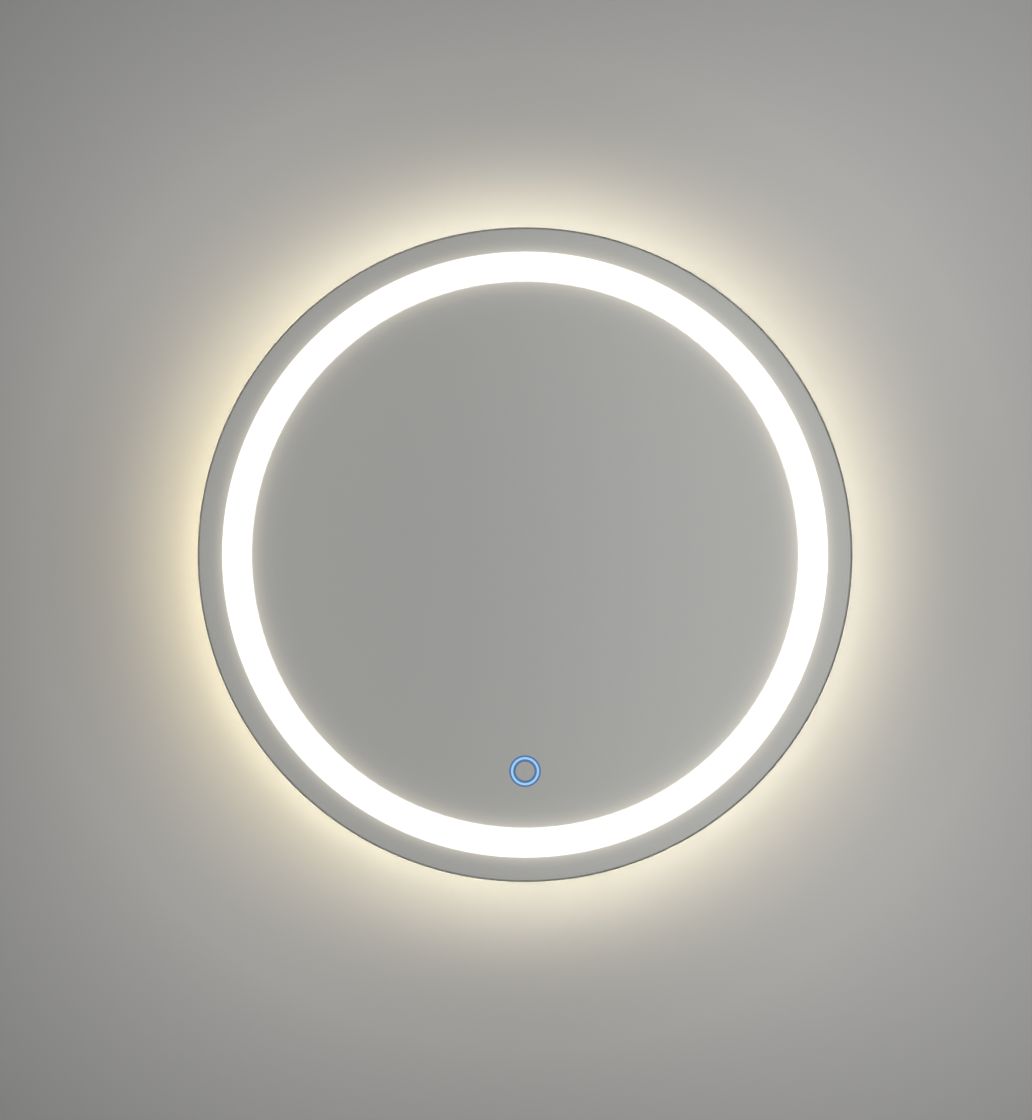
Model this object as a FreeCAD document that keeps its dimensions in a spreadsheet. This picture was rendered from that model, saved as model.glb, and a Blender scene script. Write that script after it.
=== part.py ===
import FreeCAD, Part
import math
import os
import re
import Sketcher

# A round bathroom mirror with an LED band shining through its glass, an LED halo behind it and a
# touch switch. Millimetres, +Z up. The wall is the plane y = 0 and the mirror faces -Y, so a
# "depth" below is a distance out from the wall. The origin lies on the wall, midway between the
# two screw holes of the wall rail.

PARTS_FOLDER = "parts"
SAME_PLACE = 1e-6

SIZES = [
    # glass and coating
    ("glass_diameter", 600),
    ("glass_thickness", 5),
    ("glass_bevel", 0.8),
    ("band_margin", 22),
    ("band_width", 27.5),
    ("frosting_depth", 0.15),
    ("coating_thickness", 0.1),
    ("coating_margin", 1.5),
    ("film_thickness", 0.2),
    ("film_margin", 3),
    # wall rail and hook rail
    ("rail_above_centre", 140),
    ("rail_thickness", 2),
    ("rail_clearance", 0.3),
    ("rail_foot_height", 14),
    ("rail_step_height", 12),
    ("rail_lip_height", 14),
    ("wall_rail_length", 260),
    ("wall_screw_spacing", 200),
    ("wall_screw_hole", 5),
    ("hook_rail_length", 200),
    ("hook_reach", 11.5),
    ("hook_flange_height", 24),
    ("hook_edge_margin", 3),
    ("rivet_diameter", 4),
    ("rivet_head_diameter", 8),
    ("rivet_head_height", 1.2),
    ("rivet_inner_spacing", 60),
    ("rivet_outer_spacing", 170),
    ("rivet_height", 14),
    # crossbars
    ("crossbar_thickness", 1.5),
    ("crossbar_height", 40),
    ("crossbar_lip", 8),
    ("crossbar_lip_room", 12),
    ("crossbar_end_margin", 1),
    ("crossbar_screw_pitch", 22),
    ("lower_crossbar_drop", 140),
    ("bumper_diameter", 18),
    ("bumper_spacing", 300),
    # chassis ring
    ("chassis_depth", 27.7),
    ("glass_overhang", 8),
    ("channel_depth", 7),
    ("chassis_wall", 2),
    ("chassis_flange", 1.5),
    ("chassis_lip", 1),
    ("chassis_lip_wall", 0.8),
    ("rear_flange_width", 12),
    ("tray_ledge", 4),
    ("bond_thickness", 0.8),
    ("bond_margin", 0.5),
    ("seam_width", 0.4),
    ("splice_length", 40),
    ("splice_width", 8),
    ("splice_thickness", 1.5),
    ("splice_inner_spacing", 12),
    ("splice_outer_spacing", 30),
    # light chamber behind the lit band
    ("tray_margin", 5),
    ("tray_clearance", 0.4),
    ("tray_wall", 1),
    ("tray_height", 18),
    ("diffuser_thickness", 2),
    ("diffuser_clearance", 0.2),
    ("seal_width", 2.5),
    ("seal_margin", 1),
    ("side_diffuser_thickness", 1.6),
    ("side_diffuser_clearance", 0.1),
    # light strips
    ("strip_width", 10),
    ("strip_thickness", 0.4),
    ("led_pitch", 16.6),
    ("led_length", 3.5),
    ("led_width", 2.8),
    ("led_height", 0.8),
    ("led_solder", 0.05),
    # small screws
    ("screw_diameter", 3),
    ("screw_head_diameter", 6),
    ("screw_head_height", 1.9),
    ("screw_length", 6.5),
    ("screw_clearance", 0.2),
    ("thread_clearance", 0.05),
    # adhesive pads and plastic boxes
    ("pad_thickness", 1.1),
    ("pad_width", 18),
    ("box_wall", 2),
    ("box_corner", 3),
    ("cover_thickness", 2.5),
    ("cover_tongue", 1.5),
    ("cover_clearance", 0.2),
    ("boss_diameter", 7),
    ("boss_inset", 5),
    ("box_screw_diameter", 2.5),
    ("box_screw_head_diameter", 5),
    ("box_screw_head_height", 1.6),
    ("box_screw_length", 10),
    # LED driver
    ("driver_x", -25),
    ("driver_above_centre", 50),
    ("driver_length", 170),
    ("driver_height", 58),
    ("driver_box_depth", 24),
    ("board_thickness", 1.6),
    ("board_standoff", 3),
    ("board_margin", 3),
    ("board_notch", 6),
    ("component_height", 12),
    ("transformer_length", 28),
    ("transformer_width", 26),
    ("coil_length", 18),
    ("coil_width", 32),
    ("coil_inset", 1.8),
    ("capacitor_diameter", 12),
    ("capacitor_pitch", 15.6),
    ("choke_radius", 7),
    ("choke_wire", 2.4),
    ("heat_sink_length", 34),
    ("heat_sink_thickness", 2),
    ("fin_length", 8),
    ("fin_pitch", 6.8),
    # terminal box and cable entry
    ("terminal_box_gap", 33),
    ("terminal_box_length", 66),
    ("terminal_box_height", 46),
    ("terminal_box_depth", 22),
    ("terminal_pitch", 8),
    ("terminal_block_length", 18),
    ("terminal_block_height", 12),
    ("terminal_screw_diameter", 4),
    ("cable_hole", 7.5),
    ("grommet_wall", 2.25),
    ("grommet_flange", 2.5),
    ("grommet_flange_thickness", 1.8),
    ("grommet_neck", 4),
    ("grommet_x", 14),
    # touch switch
    ("switch_above_band", 51.9),
    ("switch_ring_diameter", 23.2),
    ("switch_ring_width", 4.6),
    ("switch_length", 54),
    ("switch_height", 34),
    ("switch_depth", 9),
    ("switch_wall", 1.2),
    ("switch_pad_width", 2.5),
    ("switch_board_margin", 2.4),
    ("switch_board_depth", 3.8),
    ("switch_led_gap", 0.2),
    ("switch_led_count", 6),
    ("electrode_diameter", 16),
    ("electrode_thickness", 0.2),
    ("electrode_stem", 2),
    ("chip_size", 5),
    ("chip_height", 1.2),
    # leads
    ("lead_diameter", 3.2),
    ("mains_lead_diameter", 5.5),
    ("bush_wall", 1),
    ("bush_flange", 1.2),
    ("bush_flange_thickness", 1.2),
    ("bush_clearance", 0.1),
    ("switch_exit_offset", 7),
    ("front_entry_x", 55),
    ("back_entry_x", 57),
    ("clip_length", 10),
    ("clip_wall", 2),
    ("clip_floor", 1),
    ("clip_clearance", 0.1),
    ("connector_clearance", 0.3),
]

# Radii, measured from the mirror's axis
GLASS_R = "(glass_diameter / 2)"
BAND_OUTER_R = f"({GLASS_R} - band_margin)"
BAND_INNER_R = f"({BAND_OUTER_R} - band_width)"
CHASSIS_R = f"({GLASS_R} - glass_overhang)"
CHASSIS_LIP_R = f"({CHASSIS_R} - chassis_lip_wall)"
WEB_OUTER_R = f"({CHASSIS_R} - channel_depth)"
WEB_INNER_R = f"({WEB_OUTER_R} - chassis_wall)"
REAR_FLANGE_R = f"({WEB_INNER_R} - rear_flange_width)"
FLANGE_SCREW_R = f"({WEB_INNER_R} - rear_flange_width / 2)"
TRAY_OUTER_R = f"({WEB_INNER_R} - tray_clearance)"
TRAY_INNER_R = f"({BAND_INNER_R} - tray_margin)"
STRIP_SEAT_R = f"({TRAY_OUTER_R} - tray_wall)"

# Depths, measured out from the wall
LIP_POCKET = "(rail_thickness + 2 * rail_clearance)"
CROSSBAR_REAR = "(2 * rail_thickness + 3 * rail_clearance)"
CHASSIS_REAR = f"({CROSSBAR_REAR} + crossbar_thickness)"
CHASSIS_FRONT = f"({CHASSIS_REAR} + chassis_depth)"
COATING_REAR = f"({CHASSIS_FRONT} + bond_thickness)"
GLASS_REAR = f"({COATING_REAR} + coating_thickness)"
GLASS_FRONT = f"({GLASS_REAR} + glass_thickness)"
FILM_REAR = f"({COATING_REAR} - film_thickness)"
TRAY_FRONT = f"({CHASSIS_FRONT} - diffuser_thickness)"
TRAY_REAR = f"({TRAY_FRONT} - tray_height)"
CHANNEL_MIDDLE = f"({CHASSIS_REAR} + chassis_depth / 2)"
CHAMBER_MIDDLE = f"(({TRAY_REAR} + tray_wall + {TRAY_FRONT}) / 2)"
BOX_FRONT = f"({FILM_REAR} - pad_thickness)"
BOARD_REAR = f"({BOX_FRONT} - box_wall - board_standoff - board_thickness)"
SWITCH_FRONT = f"({COATING_REAR} - pad_thickness)"
SWITCH_REAR = f"({SWITCH_FRONT} - switch_depth)"
SWITCH_BOARD_FRONT = f"({SWITCH_FRONT} - switch_board_depth)"

# How far the switch's centre lies below the glass's centre
SWITCH_DROP = f"({BAND_INNER_R} - switch_above_band)"

# Heights above the wall screws
LIP_TOP = "(rail_step_height + rail_lip_height)"

# Places in the mirror's own frame, whose centre is the glass's centre
UPPER_BAR_LOW = f"(rail_above_centre + {LIP_TOP} - hook_edge_margin)"
UPPER_BAR_MIDDLE = f"({UPPER_BAR_LOW} + crossbar_height / 2)"
DRIVER_LEFT = "(driver_x - driver_length / 2)"
DRIVER_RIGHT = "(driver_x + driver_length / 2)"
TERMINAL_X = f"({DRIVER_RIGHT} + terminal_box_gap + terminal_box_length / 2)"
DRIVER_LEAD_DEPTH = f"({BOX_FRONT} - driver_box_depth / 2)"
SWITCH_LEAD_DEPTH = f"(({SWITCH_REAR} + switch_wall + {SWITCH_FRONT}) / 2)"
BACK_LEAD_DEPTH = f"(({CHASSIS_REAR} + chassis_flange + {TRAY_REAR} - chassis_flange) / 2)"

MIRROR_CENTRE = ("0", "-rail_above_centre")
DRIVER_PLACE = ("driver_x", "driver_above_centre - rail_above_centre")
TERMINAL_PLACE = (TERMINAL_X, "driver_above_centre - rail_above_centre")
SWITCH_PLACE = ("0", f"-{SWITCH_DROP} - rail_above_centre")
WALL_PLACE = ("0", "0")

SIZE_NAMES = {name for name, _ in SIZES}

doc = FreeCAD.newDocument("LightedMirror")
sheet = doc.addObject("Spreadsheet::Sheet", "Sizes")


def fill_sheet():
    for row, (name, size) in enumerate(SIZES, start=1):
        sheet.set(f"A{row}", name)
        sheet.set(f"B{row}", str(size))
        sheet.setAlias(f"B{row}", name)
    doc.recompute()


def sheet_terms(text):
    """Write a formula of size names as one that reads the sheet's cells."""
    return re.sub(r"[a-z_]+", lambda m: f"Sizes.{m[0]}" if m[0] in SIZE_NAMES else m[0], text)


def value(text):
    return float(sheet.evalExpression(sheet_terms(text)))


def bind(item, prop, text):
    item.setExpression(prop, sheet_terms(text))


def place(item, centre):
    bind(item, "Placement.Base.x", centre[0])
    bind(item, "Placement.Base.z", centre[1])


# ---- sketches ---------------------------------------------------------------------------------

def new_body(label, centre=MIRROR_CENTRE):
    body = doc.addObject("PartDesign::Body", label)
    body.Label = label
    place(body, centre)
    return body


def origin_feature(body, role):
    return next(item for item in body.Origin.OriginFeatures if item.Role == role)


def new_sketch(body, role, offset="0"):
    sketch = body.newObject("Sketcher::SketchObject", f"{body.Label}_sketch")
    sketch.AttachmentSupport = [(origin_feature(body, role), "")]
    sketch.MapMode = "FlatFace"
    bind(sketch, "AttachmentOffset.Base.z", offset)
    return sketch


def fix_point(sketch, edge, point, across, up):
    """Tie one point of a sketch to formulas for its two coordinates."""
    for kind, text in (("DistanceX", across), ("DistanceY", up)):
        number = sketch.addConstraint(Sketcher.Constraint(kind, -1, 1, edge, point, value(text)))
        bind(sketch, f"Constraints[{number}]", text)


def draw_polygon(sketch, points):
    corners = [FreeCAD.Vector(value(across), value(up), 0) for across, up in points]
    first = sketch.GeometryCount
    count = len(points)
    for index in range(count):
        side = Part.LineSegment(corners[index], corners[(index + 1) % count])
        sketch.addGeometry(side, False)
    for index in range(count):
        following = first + (index + 1) % count
        sketch.addConstraint(Sketcher.Constraint("Coincident", first + index, 2, following, 1))
    for index, (across, up) in enumerate(points):
        fix_point(sketch, first + index, 1, across, up)


def draw_rectangle(sketch, length, height, x="0", z="0"):
    left, right = f"({x}) - ({length}) / 2", f"({x}) + ({length}) / 2"
    low, high = f"({z}) - ({height}) / 2", f"({z}) + ({height}) / 2"
    draw_polygon(sketch, [(left, low), (right, low), (right, high), (left, high)])


def draw_circle(sketch, diameter, x="0", z="0"):
    centre = FreeCAD.Vector(value(x), value(z), 0)
    edge = sketch.addGeometry(Part.Circle(centre, FreeCAD.Vector(0, 0, 1), value(diameter) / 2), False)
    number = sketch.addConstraint(Sketcher.Constraint("Diameter", edge, value(diameter)))
    bind(sketch, f"Constraints[{number}]", diameter)
    fix_point(sketch, edge, 3, x, z)


def circles(diameter, places):
    """A drawing of equal circles, for slab and recess."""
    def draw(sketch):
        for x, z in places:
            draw_circle(sketch, diameter, x, z)
    return draw


def rectangle(length, height, x="0", z="0"):
    """A drawing of one rectangle, for slab and recess."""
    return lambda sketch: draw_rectangle(sketch, length, height, x, z)


def both_sides(x, z):
    """A place and its mirror image to the left."""
    return [(f"-{x}", z), (x, z)]


# ---- features ---------------------------------------------------------------------------------

def pad_sketch(body, sketch, length):
    pad = body.newObject("PartDesign::Pad", f"{body.Label}_pad")
    pad.Profile = sketch
    bind(pad, "Length", length)
    return pad


def cut_sketch(body, sketch, length):
    """Cut behind the sketch, and stop if nothing was cut away."""
    doc.recompute()
    before = body.Shape.Volume
    pocket = body.newObject("PartDesign::Pocket", f"{body.Label}_pocket")
    pocket.Profile = sketch
    bind(pocket, "Length", length)
    doc.recompute()
    if not body.Shape.Volume < before:
        raise RuntimeError(f"{pocket.Label} cuts nothing")


def front_sketch(body, depth):
    """A sketch facing the room, at a depth out from the wall."""
    return new_sketch(body, "XZ_Plane", depth)


def slab(body, draw, rear, front):
    """Pad what draw puts in a sketch, from one depth to another."""
    sketch = front_sketch(body, rear)
    draw(sketch)
    return pad_sketch(body, sketch, f"({front}) - ({rear})")


def recess(body, draw, rear, front):
    """Cut what draw puts in a sketch, from one depth to another."""
    sketch = front_sketch(body, front)
    draw(sketch)
    cut_sketch(body, sketch, f"({front}) - ({rear})")


def bore_along_x(body, diameter, depth, z, right, length):
    """Drill a round hole along X that ends at x = right and starts length to its left."""
    sketch = new_sketch(body, "YZ_Plane", right)
    draw_circle(sketch, diameter, f"-({depth})", z)
    cut_sketch(body, sketch, length)


def bore_along_z(body, diameter, x, depth, top, length):
    """Drill a round hole along Z, downwards from z = top."""
    sketch = new_sketch(body, "XY_Plane", top)
    draw_circle(sketch, diameter, x, f"-({depth})")
    cut_sketch(body, sketch, length)


def turned_ring(label, profile, centre=MIRROR_CENTRE):
    """A body turned about the Y axis from points given as radius and depth."""
    body = new_body(label, centre)
    sketch = new_sketch(body, "XY_Plane")
    draw_polygon(sketch, [(radius, f"-({depth})") for radius, depth in profile])
    turn = body.newObject("PartDesign::Revolution", f"{label}_turn")
    turn.Profile = sketch
    turn.ReferenceAxis = (sketch, ["V_Axis"])
    turn.Angle = 360
    return body


def flat_ring(label, inner, outer, rear, front):
    return turned_ring(label, [(inner, rear), (outer, rear), (outer, front), (inner, front)])


def extruded_bar(label, profile, length, centre):
    """A bar along X, the same to both sides, from points given as depth and height."""
    body = new_body(label, centre)
    sketch = new_sketch(body, "YZ_Plane")
    draw_polygon(sketch, [(f"-({depth})", height) for depth, height in profile])
    pad = pad_sketch(body, sketch, length)
    pad.Midplane = True
    return body


def round_corners(body, radius):
    """Round the outer corners of a box, seen from the front."""
    doc.recompute()
    box = body.Shape.BoundBox
    corners = []
    for number, edge in enumerate(body.Shape.Edges, start=1):
        middle = edge.CenterOfMass
        at_side = min(abs(middle.x - box.XMin), abs(middle.x - box.XMax)) < SAME_PLACE
        at_end = min(abs(middle.z - box.ZMin), abs(middle.z - box.ZMax)) < SAME_PLACE
        if at_side and at_end:
            corners.append(f"Edge{number}")
    box_feature = body.Tip
    fillet = body.newObject("PartDesign::Fillet", f"{body.Label}_fillet")
    fillet.Base = (box_feature, corners)
    bind(fillet, "Radius", radius)


def ring_pattern(body, feature, count):
    """Repeat a feature around the mirror's axis."""
    pattern = body.newObject("PartDesign::PolarPattern", f"{body.Label}_pattern")
    pattern.Originals = [feature]
    pattern.Axis = (origin_feature(body, "Y_Axis"), [""])
    pattern.Angle = 360
    bind(pattern, "Occurrences", count)
    body.Tip = pattern


# ---- glass ------------------------------------------------------------------------------------

SWITCH_Z = f"-{SWITCH_DROP}"
RING_OUTER = "switch_ring_diameter + switch_ring_width"
RING_INNER = "switch_ring_diameter - switch_ring_width"


def make_glass():
    """Float glass with ground edges, frosted at its back along the lit band and the switch ring."""
    frosted = f"{GLASS_REAR} + frosting_depth"
    rim = f"{GLASS_R} - glass_bevel"
    glass = turned_ring("mirror_glass", [
        ("0", GLASS_REAR),
        (BAND_INNER_R, GLASS_REAR),
        (BAND_INNER_R, frosted),
        (BAND_OUTER_R, frosted),
        (BAND_OUTER_R, GLASS_REAR),
        (rim, GLASS_REAR),
        (GLASS_R, f"{GLASS_REAR} + glass_bevel"),
        (GLASS_R, f"{GLASS_FRONT} - glass_bevel"),
        (rim, GLASS_FRONT),
        ("0", GLASS_FRONT),
    ])

    def switch_ring(sketch):
        draw_circle(sketch, RING_OUTER, "0", SWITCH_Z)
        draw_circle(sketch, RING_INNER, "0", SWITCH_Z)

    recess(glass, switch_ring, GLASS_REAR, frosted)


def make_coating():
    """Silver and paint on the back of the glass: a rim, a disc and the middle of the switch ring."""
    coating = new_body("silver_coating")

    def rim(sketch):
        draw_circle(sketch, f"2 * ({GLASS_R} - coating_margin)")
        draw_circle(sketch, f"2 * {BAND_OUTER_R}")

    def disc(sketch):
        draw_circle(sketch, f"2 * {BAND_INNER_R}")
        draw_circle(sketch, RING_OUTER, "0", SWITCH_Z)

    def switch_middle(sketch):
        draw_circle(sketch, RING_INNER, "0", SWITCH_Z)

    for draw in (rim, disc, switch_middle):
        slab(coating, draw, COATING_REAR, GLASS_REAR)


def make_safety_film():
    """Film over the back of the glass inside the light tray, cut out round the touch switch."""
    film = new_body("safety_film")

    def outline(sketch):
        draw_circle(sketch, f"2 * ({TRAY_INNER_R} - film_margin)")
        draw_rectangle(sketch, "switch_length + 2 * film_margin", "switch_height + 2 * film_margin",
                       "0", SWITCH_Z)

    slab(film, outline, FILM_REAR, COATING_REAR)


# ---- chassis and light chamber ----------------------------------------------------------------

def make_chassis_ring():
    """An aluminium profile rolled to a ring: a channel for the halo's light opens outwards, a rear
    flange takes the crossbars and a ledge carries the light tray. Its ends meet at the bottom."""
    flange_front = f"{CHASSIS_REAR} + chassis_flange"
    flange_rear = f"{CHASSIS_FRONT} - chassis_flange"
    ledge_rear = f"{TRAY_REAR} - chassis_flange"
    ring = turned_ring("chassis_ring", [
        (REAR_FLANGE_R, CHASSIS_REAR),
        (CHASSIS_R, CHASSIS_REAR),
        (CHASSIS_R, f"{flange_front} + chassis_lip"),
        (CHASSIS_LIP_R, f"{flange_front} + chassis_lip"),
        (CHASSIS_LIP_R, flange_front),
        (WEB_OUTER_R, flange_front),
        (WEB_OUTER_R, flange_rear),
        (CHASSIS_LIP_R, flange_rear),
        (CHASSIS_LIP_R, f"{flange_rear} - chassis_lip"),
        (CHASSIS_R, f"{flange_rear} - chassis_lip"),
        (CHASSIS_R, CHASSIS_FRONT),
        (WEB_INNER_R, CHASSIS_FRONT),
        (WEB_INNER_R, TRAY_REAR),
        (f"{WEB_INNER_R} - tray_ledge", TRAY_REAR),
        (f"{WEB_INNER_R} - tray_ledge", ledge_rear),
        (WEB_INNER_R, ledge_rear),
        (WEB_INNER_R, flange_front),
        (REAR_FLANGE_R, flange_front),
    ])

    recess(ring, rectangle("seam_width", GLASS_R, "0", f"-{GLASS_R}"), "0", GLASS_FRONT)
    recess(ring, circles("screw_diameter + 2 * thread_clearance", crossbar_screw_places()),
           CHASSIS_REAR, flange_front)
    recess(ring, circles(SPLICE_HOLE, splice_rivet_places()), CHASSIS_REAR, flange_front)
    bore_along_z(ring, "lead_diameter + 2 * bush_clearance", "-back_entry_x", BACK_LEAD_DEPTH,
                 f"-{FLANGE_SCREW_R} + tray_ledge", "2 * rear_flange_width")


SPLICE_HOLE = "rivet_diameter / 2 + 2 * thread_clearance"


def splice_rivet_places():
    """Two rivets through each end of the ring."""
    height = f"-{FLANGE_SCREW_R}"
    return both_sides("splice_outer_spacing / 2", height) + both_sides("splice_inner_spacing / 2", height)


def make_splice():
    """A plate inside the rear flange that joins the two ends of the rolled ring."""
    rear = f"{CHASSIS_REAR} + chassis_flange"
    front = f"{rear} + splice_thickness"
    splice = new_body("chassis_splice")
    slab(splice, rectangle("splice_length", "splice_width", "0", f"-{FLANGE_SCREW_R}"), rear, front)
    recess(splice, circles(SPLICE_HOLE, splice_rivet_places()), rear, front)
    rivets("splice_rivets", splice_rivet_places(), MIRROR_CENTRE, CHASSIS_REAR, front,
           "rivet_diameter / 2", "rivet_head_diameter / 2")


def rivets(label, places, centre, rear, front, diameter, head_diameter):
    """Blind rivets with a flat head behind the rear face and a smaller one past the front face."""
    body = new_body(label, centre)
    slab(body, circles(diameter, places), rear, front)
    slab(body, circles(head_diameter, places), f"{rear} - rivet_head_height", rear)
    slab(body, circles(f"({diameter} + {head_diameter}) / 2", places), front, f"{front} + rivet_head_height")


def make_bond_and_seals():
    flat_ring("glass_bond", f"{WEB_INNER_R} + bond_margin", f"{CHASSIS_R} - bond_margin",
              CHASSIS_FRONT, COATING_REAR)
    inner = f"{BAND_INNER_R} - seal_margin"
    flat_ring("light_seal_inner", f"{inner} - seal_width", inner, CHASSIS_FRONT, COATING_REAR)
    outer = f"{BAND_OUTER_R} + seal_margin"
    flat_ring("light_seal_outer", outer, f"{outer} + seal_width", CHASSIS_FRONT, COATING_REAR)


def make_light_tray():
    """A white trough behind the lit band, open to the front."""
    floor_front = f"{TRAY_REAR} + tray_wall"
    tray = turned_ring("light_tray", [
        (TRAY_INNER_R, TRAY_REAR),
        (TRAY_OUTER_R, TRAY_REAR),
        (TRAY_OUTER_R, TRAY_FRONT),
        (STRIP_SEAT_R, TRAY_FRONT),
        (STRIP_SEAT_R, floor_front),
        (f"{TRAY_INNER_R} + tray_wall", floor_front),
        (f"{TRAY_INNER_R} + tray_wall", TRAY_FRONT),
        (TRAY_INNER_R, TRAY_FRONT),
    ])
    bore_along_z(tray, "lead_diameter + 2 * bush_wall + 2 * bush_clearance", "front_entry_x",
                 CHAMBER_MIDDLE, f"-{TRAY_INNER_R} + 2 * tray_margin", "3 * tray_margin")


def make_diffusers():
    flat_ring("front_diffuser", f"{TRAY_INNER_R} + diffuser_clearance",
              f"{TRAY_OUTER_R} - diffuser_clearance", TRAY_FRONT, CHASSIS_FRONT)
    low = f"{CHASSIS_REAR} + chassis_flange + side_diffuser_clearance"
    high = f"{CHASSIS_FRONT} - chassis_flange - side_diffuser_clearance"
    back = f"{CHASSIS_LIP_R} - side_diffuser_clearance"
    turned_ring("side_diffuser", [
        (f"{back} - side_diffuser_thickness", low),
        (back, low),
        (back, f"{low} + chassis_lip"),
        (CHASSIS_R, f"{low} + chassis_lip"),
        (CHASSIS_R, f"{high} - chassis_lip"),
        (back, f"{high} - chassis_lip"),
        (back, high),
        (f"{back} - side_diffuser_thickness", high),
    ])


def strip(label, inner, outer, middle):
    flat_ring(label, inner, outer, f"{middle} - strip_width / 2", f"{middle} + strip_width / 2")


def led_row(label, inner, outer, middle):
    """LED packages standing on a strip, evenly spaced round the ring."""
    body = new_body(label)
    sketch = new_sketch(body, "XY_Plane")
    low, high = f"-({middle} - led_width / 2)", f"-({middle} + led_width / 2)"
    draw_polygon(sketch, [(inner, low), (outer, low), (outer, high), (inner, high)])
    led = pad_sketch(body, sketch, "led_length")
    led.Midplane = True
    ring_pattern(body, led, f"round(pi * ({inner} + {outer}) / led_pitch)")


def make_light_strips():
    """One strip inside the tray's outer wall, and one outside the chassis's web for the halo."""
    inside = f"{STRIP_SEAT_R} - strip_thickness"
    strip("front_led_strip", inside, STRIP_SEAT_R, CHAMBER_MIDDLE)
    led_row("front_leds", f"{inside} - led_solder - led_height", f"{inside} - led_solder", CHAMBER_MIDDLE)
    outside = f"{WEB_OUTER_R} + strip_thickness"
    strip("back_led_strip", WEB_OUTER_R, outside, CHANNEL_MIDDLE)
    led_row("back_leds", f"{outside} + led_solder", f"{outside} + led_solder + led_height", CHANNEL_MIDDLE)


# ---- crossbars and rails ----------------------------------------------------------------------

CROSSBARS = {
    "upper_crossbar": UPPER_BAR_MIDDLE,
    "lower_crossbar": "(-lower_crossbar_drop)",
}


def crossbar_screw_places():
    """Two screws at each end of each crossbar, on the middle line of the chassis's rear flange."""
    places = []
    for middle in CROSSBARS.values():
        for side in ("+", "-"):
            z = f"({middle} {side} crossbar_screw_pitch / 2)"
            places += both_sides(f"sqrt({FLANGE_SCREW_R} ^ 2 - {z} ^ 2)", z)
    return places


def make_crossbar(label, middle):
    """A flat bar across the back of the ring, its ends cut to the ring and its long edges bent
    forwards between the tray's walls."""
    bar = new_body(label)
    end_r = f"({WEB_INNER_R} - crossbar_end_margin)"
    slab(bar, circles(f"2 * {end_r}", [("0", "0")]), CROSSBAR_REAR, CHASSIS_REAR)
    top = f"({middle} + crossbar_height / 2)"
    low = f"({middle} - crossbar_height / 2)"

    def outside(sketch):
        for near, far in ((top, GLASS_R), (low, f"-{GLASS_R}")):
            draw_rectangle(sketch, "glass_diameter", f"abs({far} - {near})", "0", f"({far} + {near}) / 2")

    recess(bar, outside, CROSSBAR_REAR, CHASSIS_REAR)
    reach = f"max(abs({top}); abs({low}))"
    lip_length = f"2 * (sqrt({TRAY_INNER_R} ^ 2 - {reach} ^ 2) - crossbar_lip_room)"

    def lips(sketch):
        for z in (f"{top} - crossbar_thickness / 2", f"{low} + crossbar_thickness / 2"):
            draw_rectangle(sketch, lip_length, "crossbar_thickness", "0", z)

    slab(bar, lips, CROSSBAR_REAR, f"{CHASSIS_REAR} + crossbar_lip")

    reach_of_bar = value("crossbar_height") / 2
    places = [(x, z) for x, z in crossbar_screw_places() if abs(value(z) - value(middle)) < reach_of_bar]
    recess(bar, circles("screw_diameter + 2 * screw_clearance", places), CROSSBAR_REAR, CHASSIS_REAR)
    return bar


def make_crossbars():
    bars = {label: make_crossbar(label, middle) for label, middle in CROSSBARS.items()}
    rivet_places = [(x, f"{z} + rail_above_centre") for x, z in hook_rivet_places()]
    recess(bars["upper_crossbar"], circles(RIVET_HOLE, rivet_places), CROSSBAR_REAR, CHASSIS_REAR)
    screws = new_body("crossbar_screws")
    places = crossbar_screw_places()
    slab(screws, circles("screw_head_diameter", places), f"{CROSSBAR_REAR} - screw_head_height",
         CROSSBAR_REAR)
    slab(screws, circles("screw_diameter", places), CROSSBAR_REAR, f"{CROSSBAR_REAR} + screw_length")


RIVET_HOLE = "rivet_diameter + 2 * thread_clearance"


def hook_rivet_places():
    """Rivets through the hook rail's flange, as heights above the wall screws."""
    height = f"({LIP_TOP} + rivet_height)"
    return both_sides("rivet_outer_spacing / 2", height) + both_sides("rivet_inner_spacing / 2", height)


def make_wall_rail():
    """The rail that stays on the wall: its lip stands up and away from the wall."""
    lip_front = f"{LIP_POCKET} + rail_thickness"
    rail = extruded_bar("wall_rail", [
        ("0", "-rail_foot_height"),
        ("0", "rail_step_height + rail_thickness"),
        (LIP_POCKET, "rail_step_height + rail_thickness"),
        (LIP_POCKET, LIP_TOP),
        (lip_front, LIP_TOP),
        (lip_front, "rail_step_height"),
        ("rail_thickness", "rail_step_height"),
        ("rail_thickness", "-rail_foot_height"),
    ], "wall_rail_length", WALL_PLACE)
    recess(rail, circles("wall_screw_hole", both_sides("wall_screw_spacing / 2", "0")),
           "0", "rail_thickness")


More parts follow.
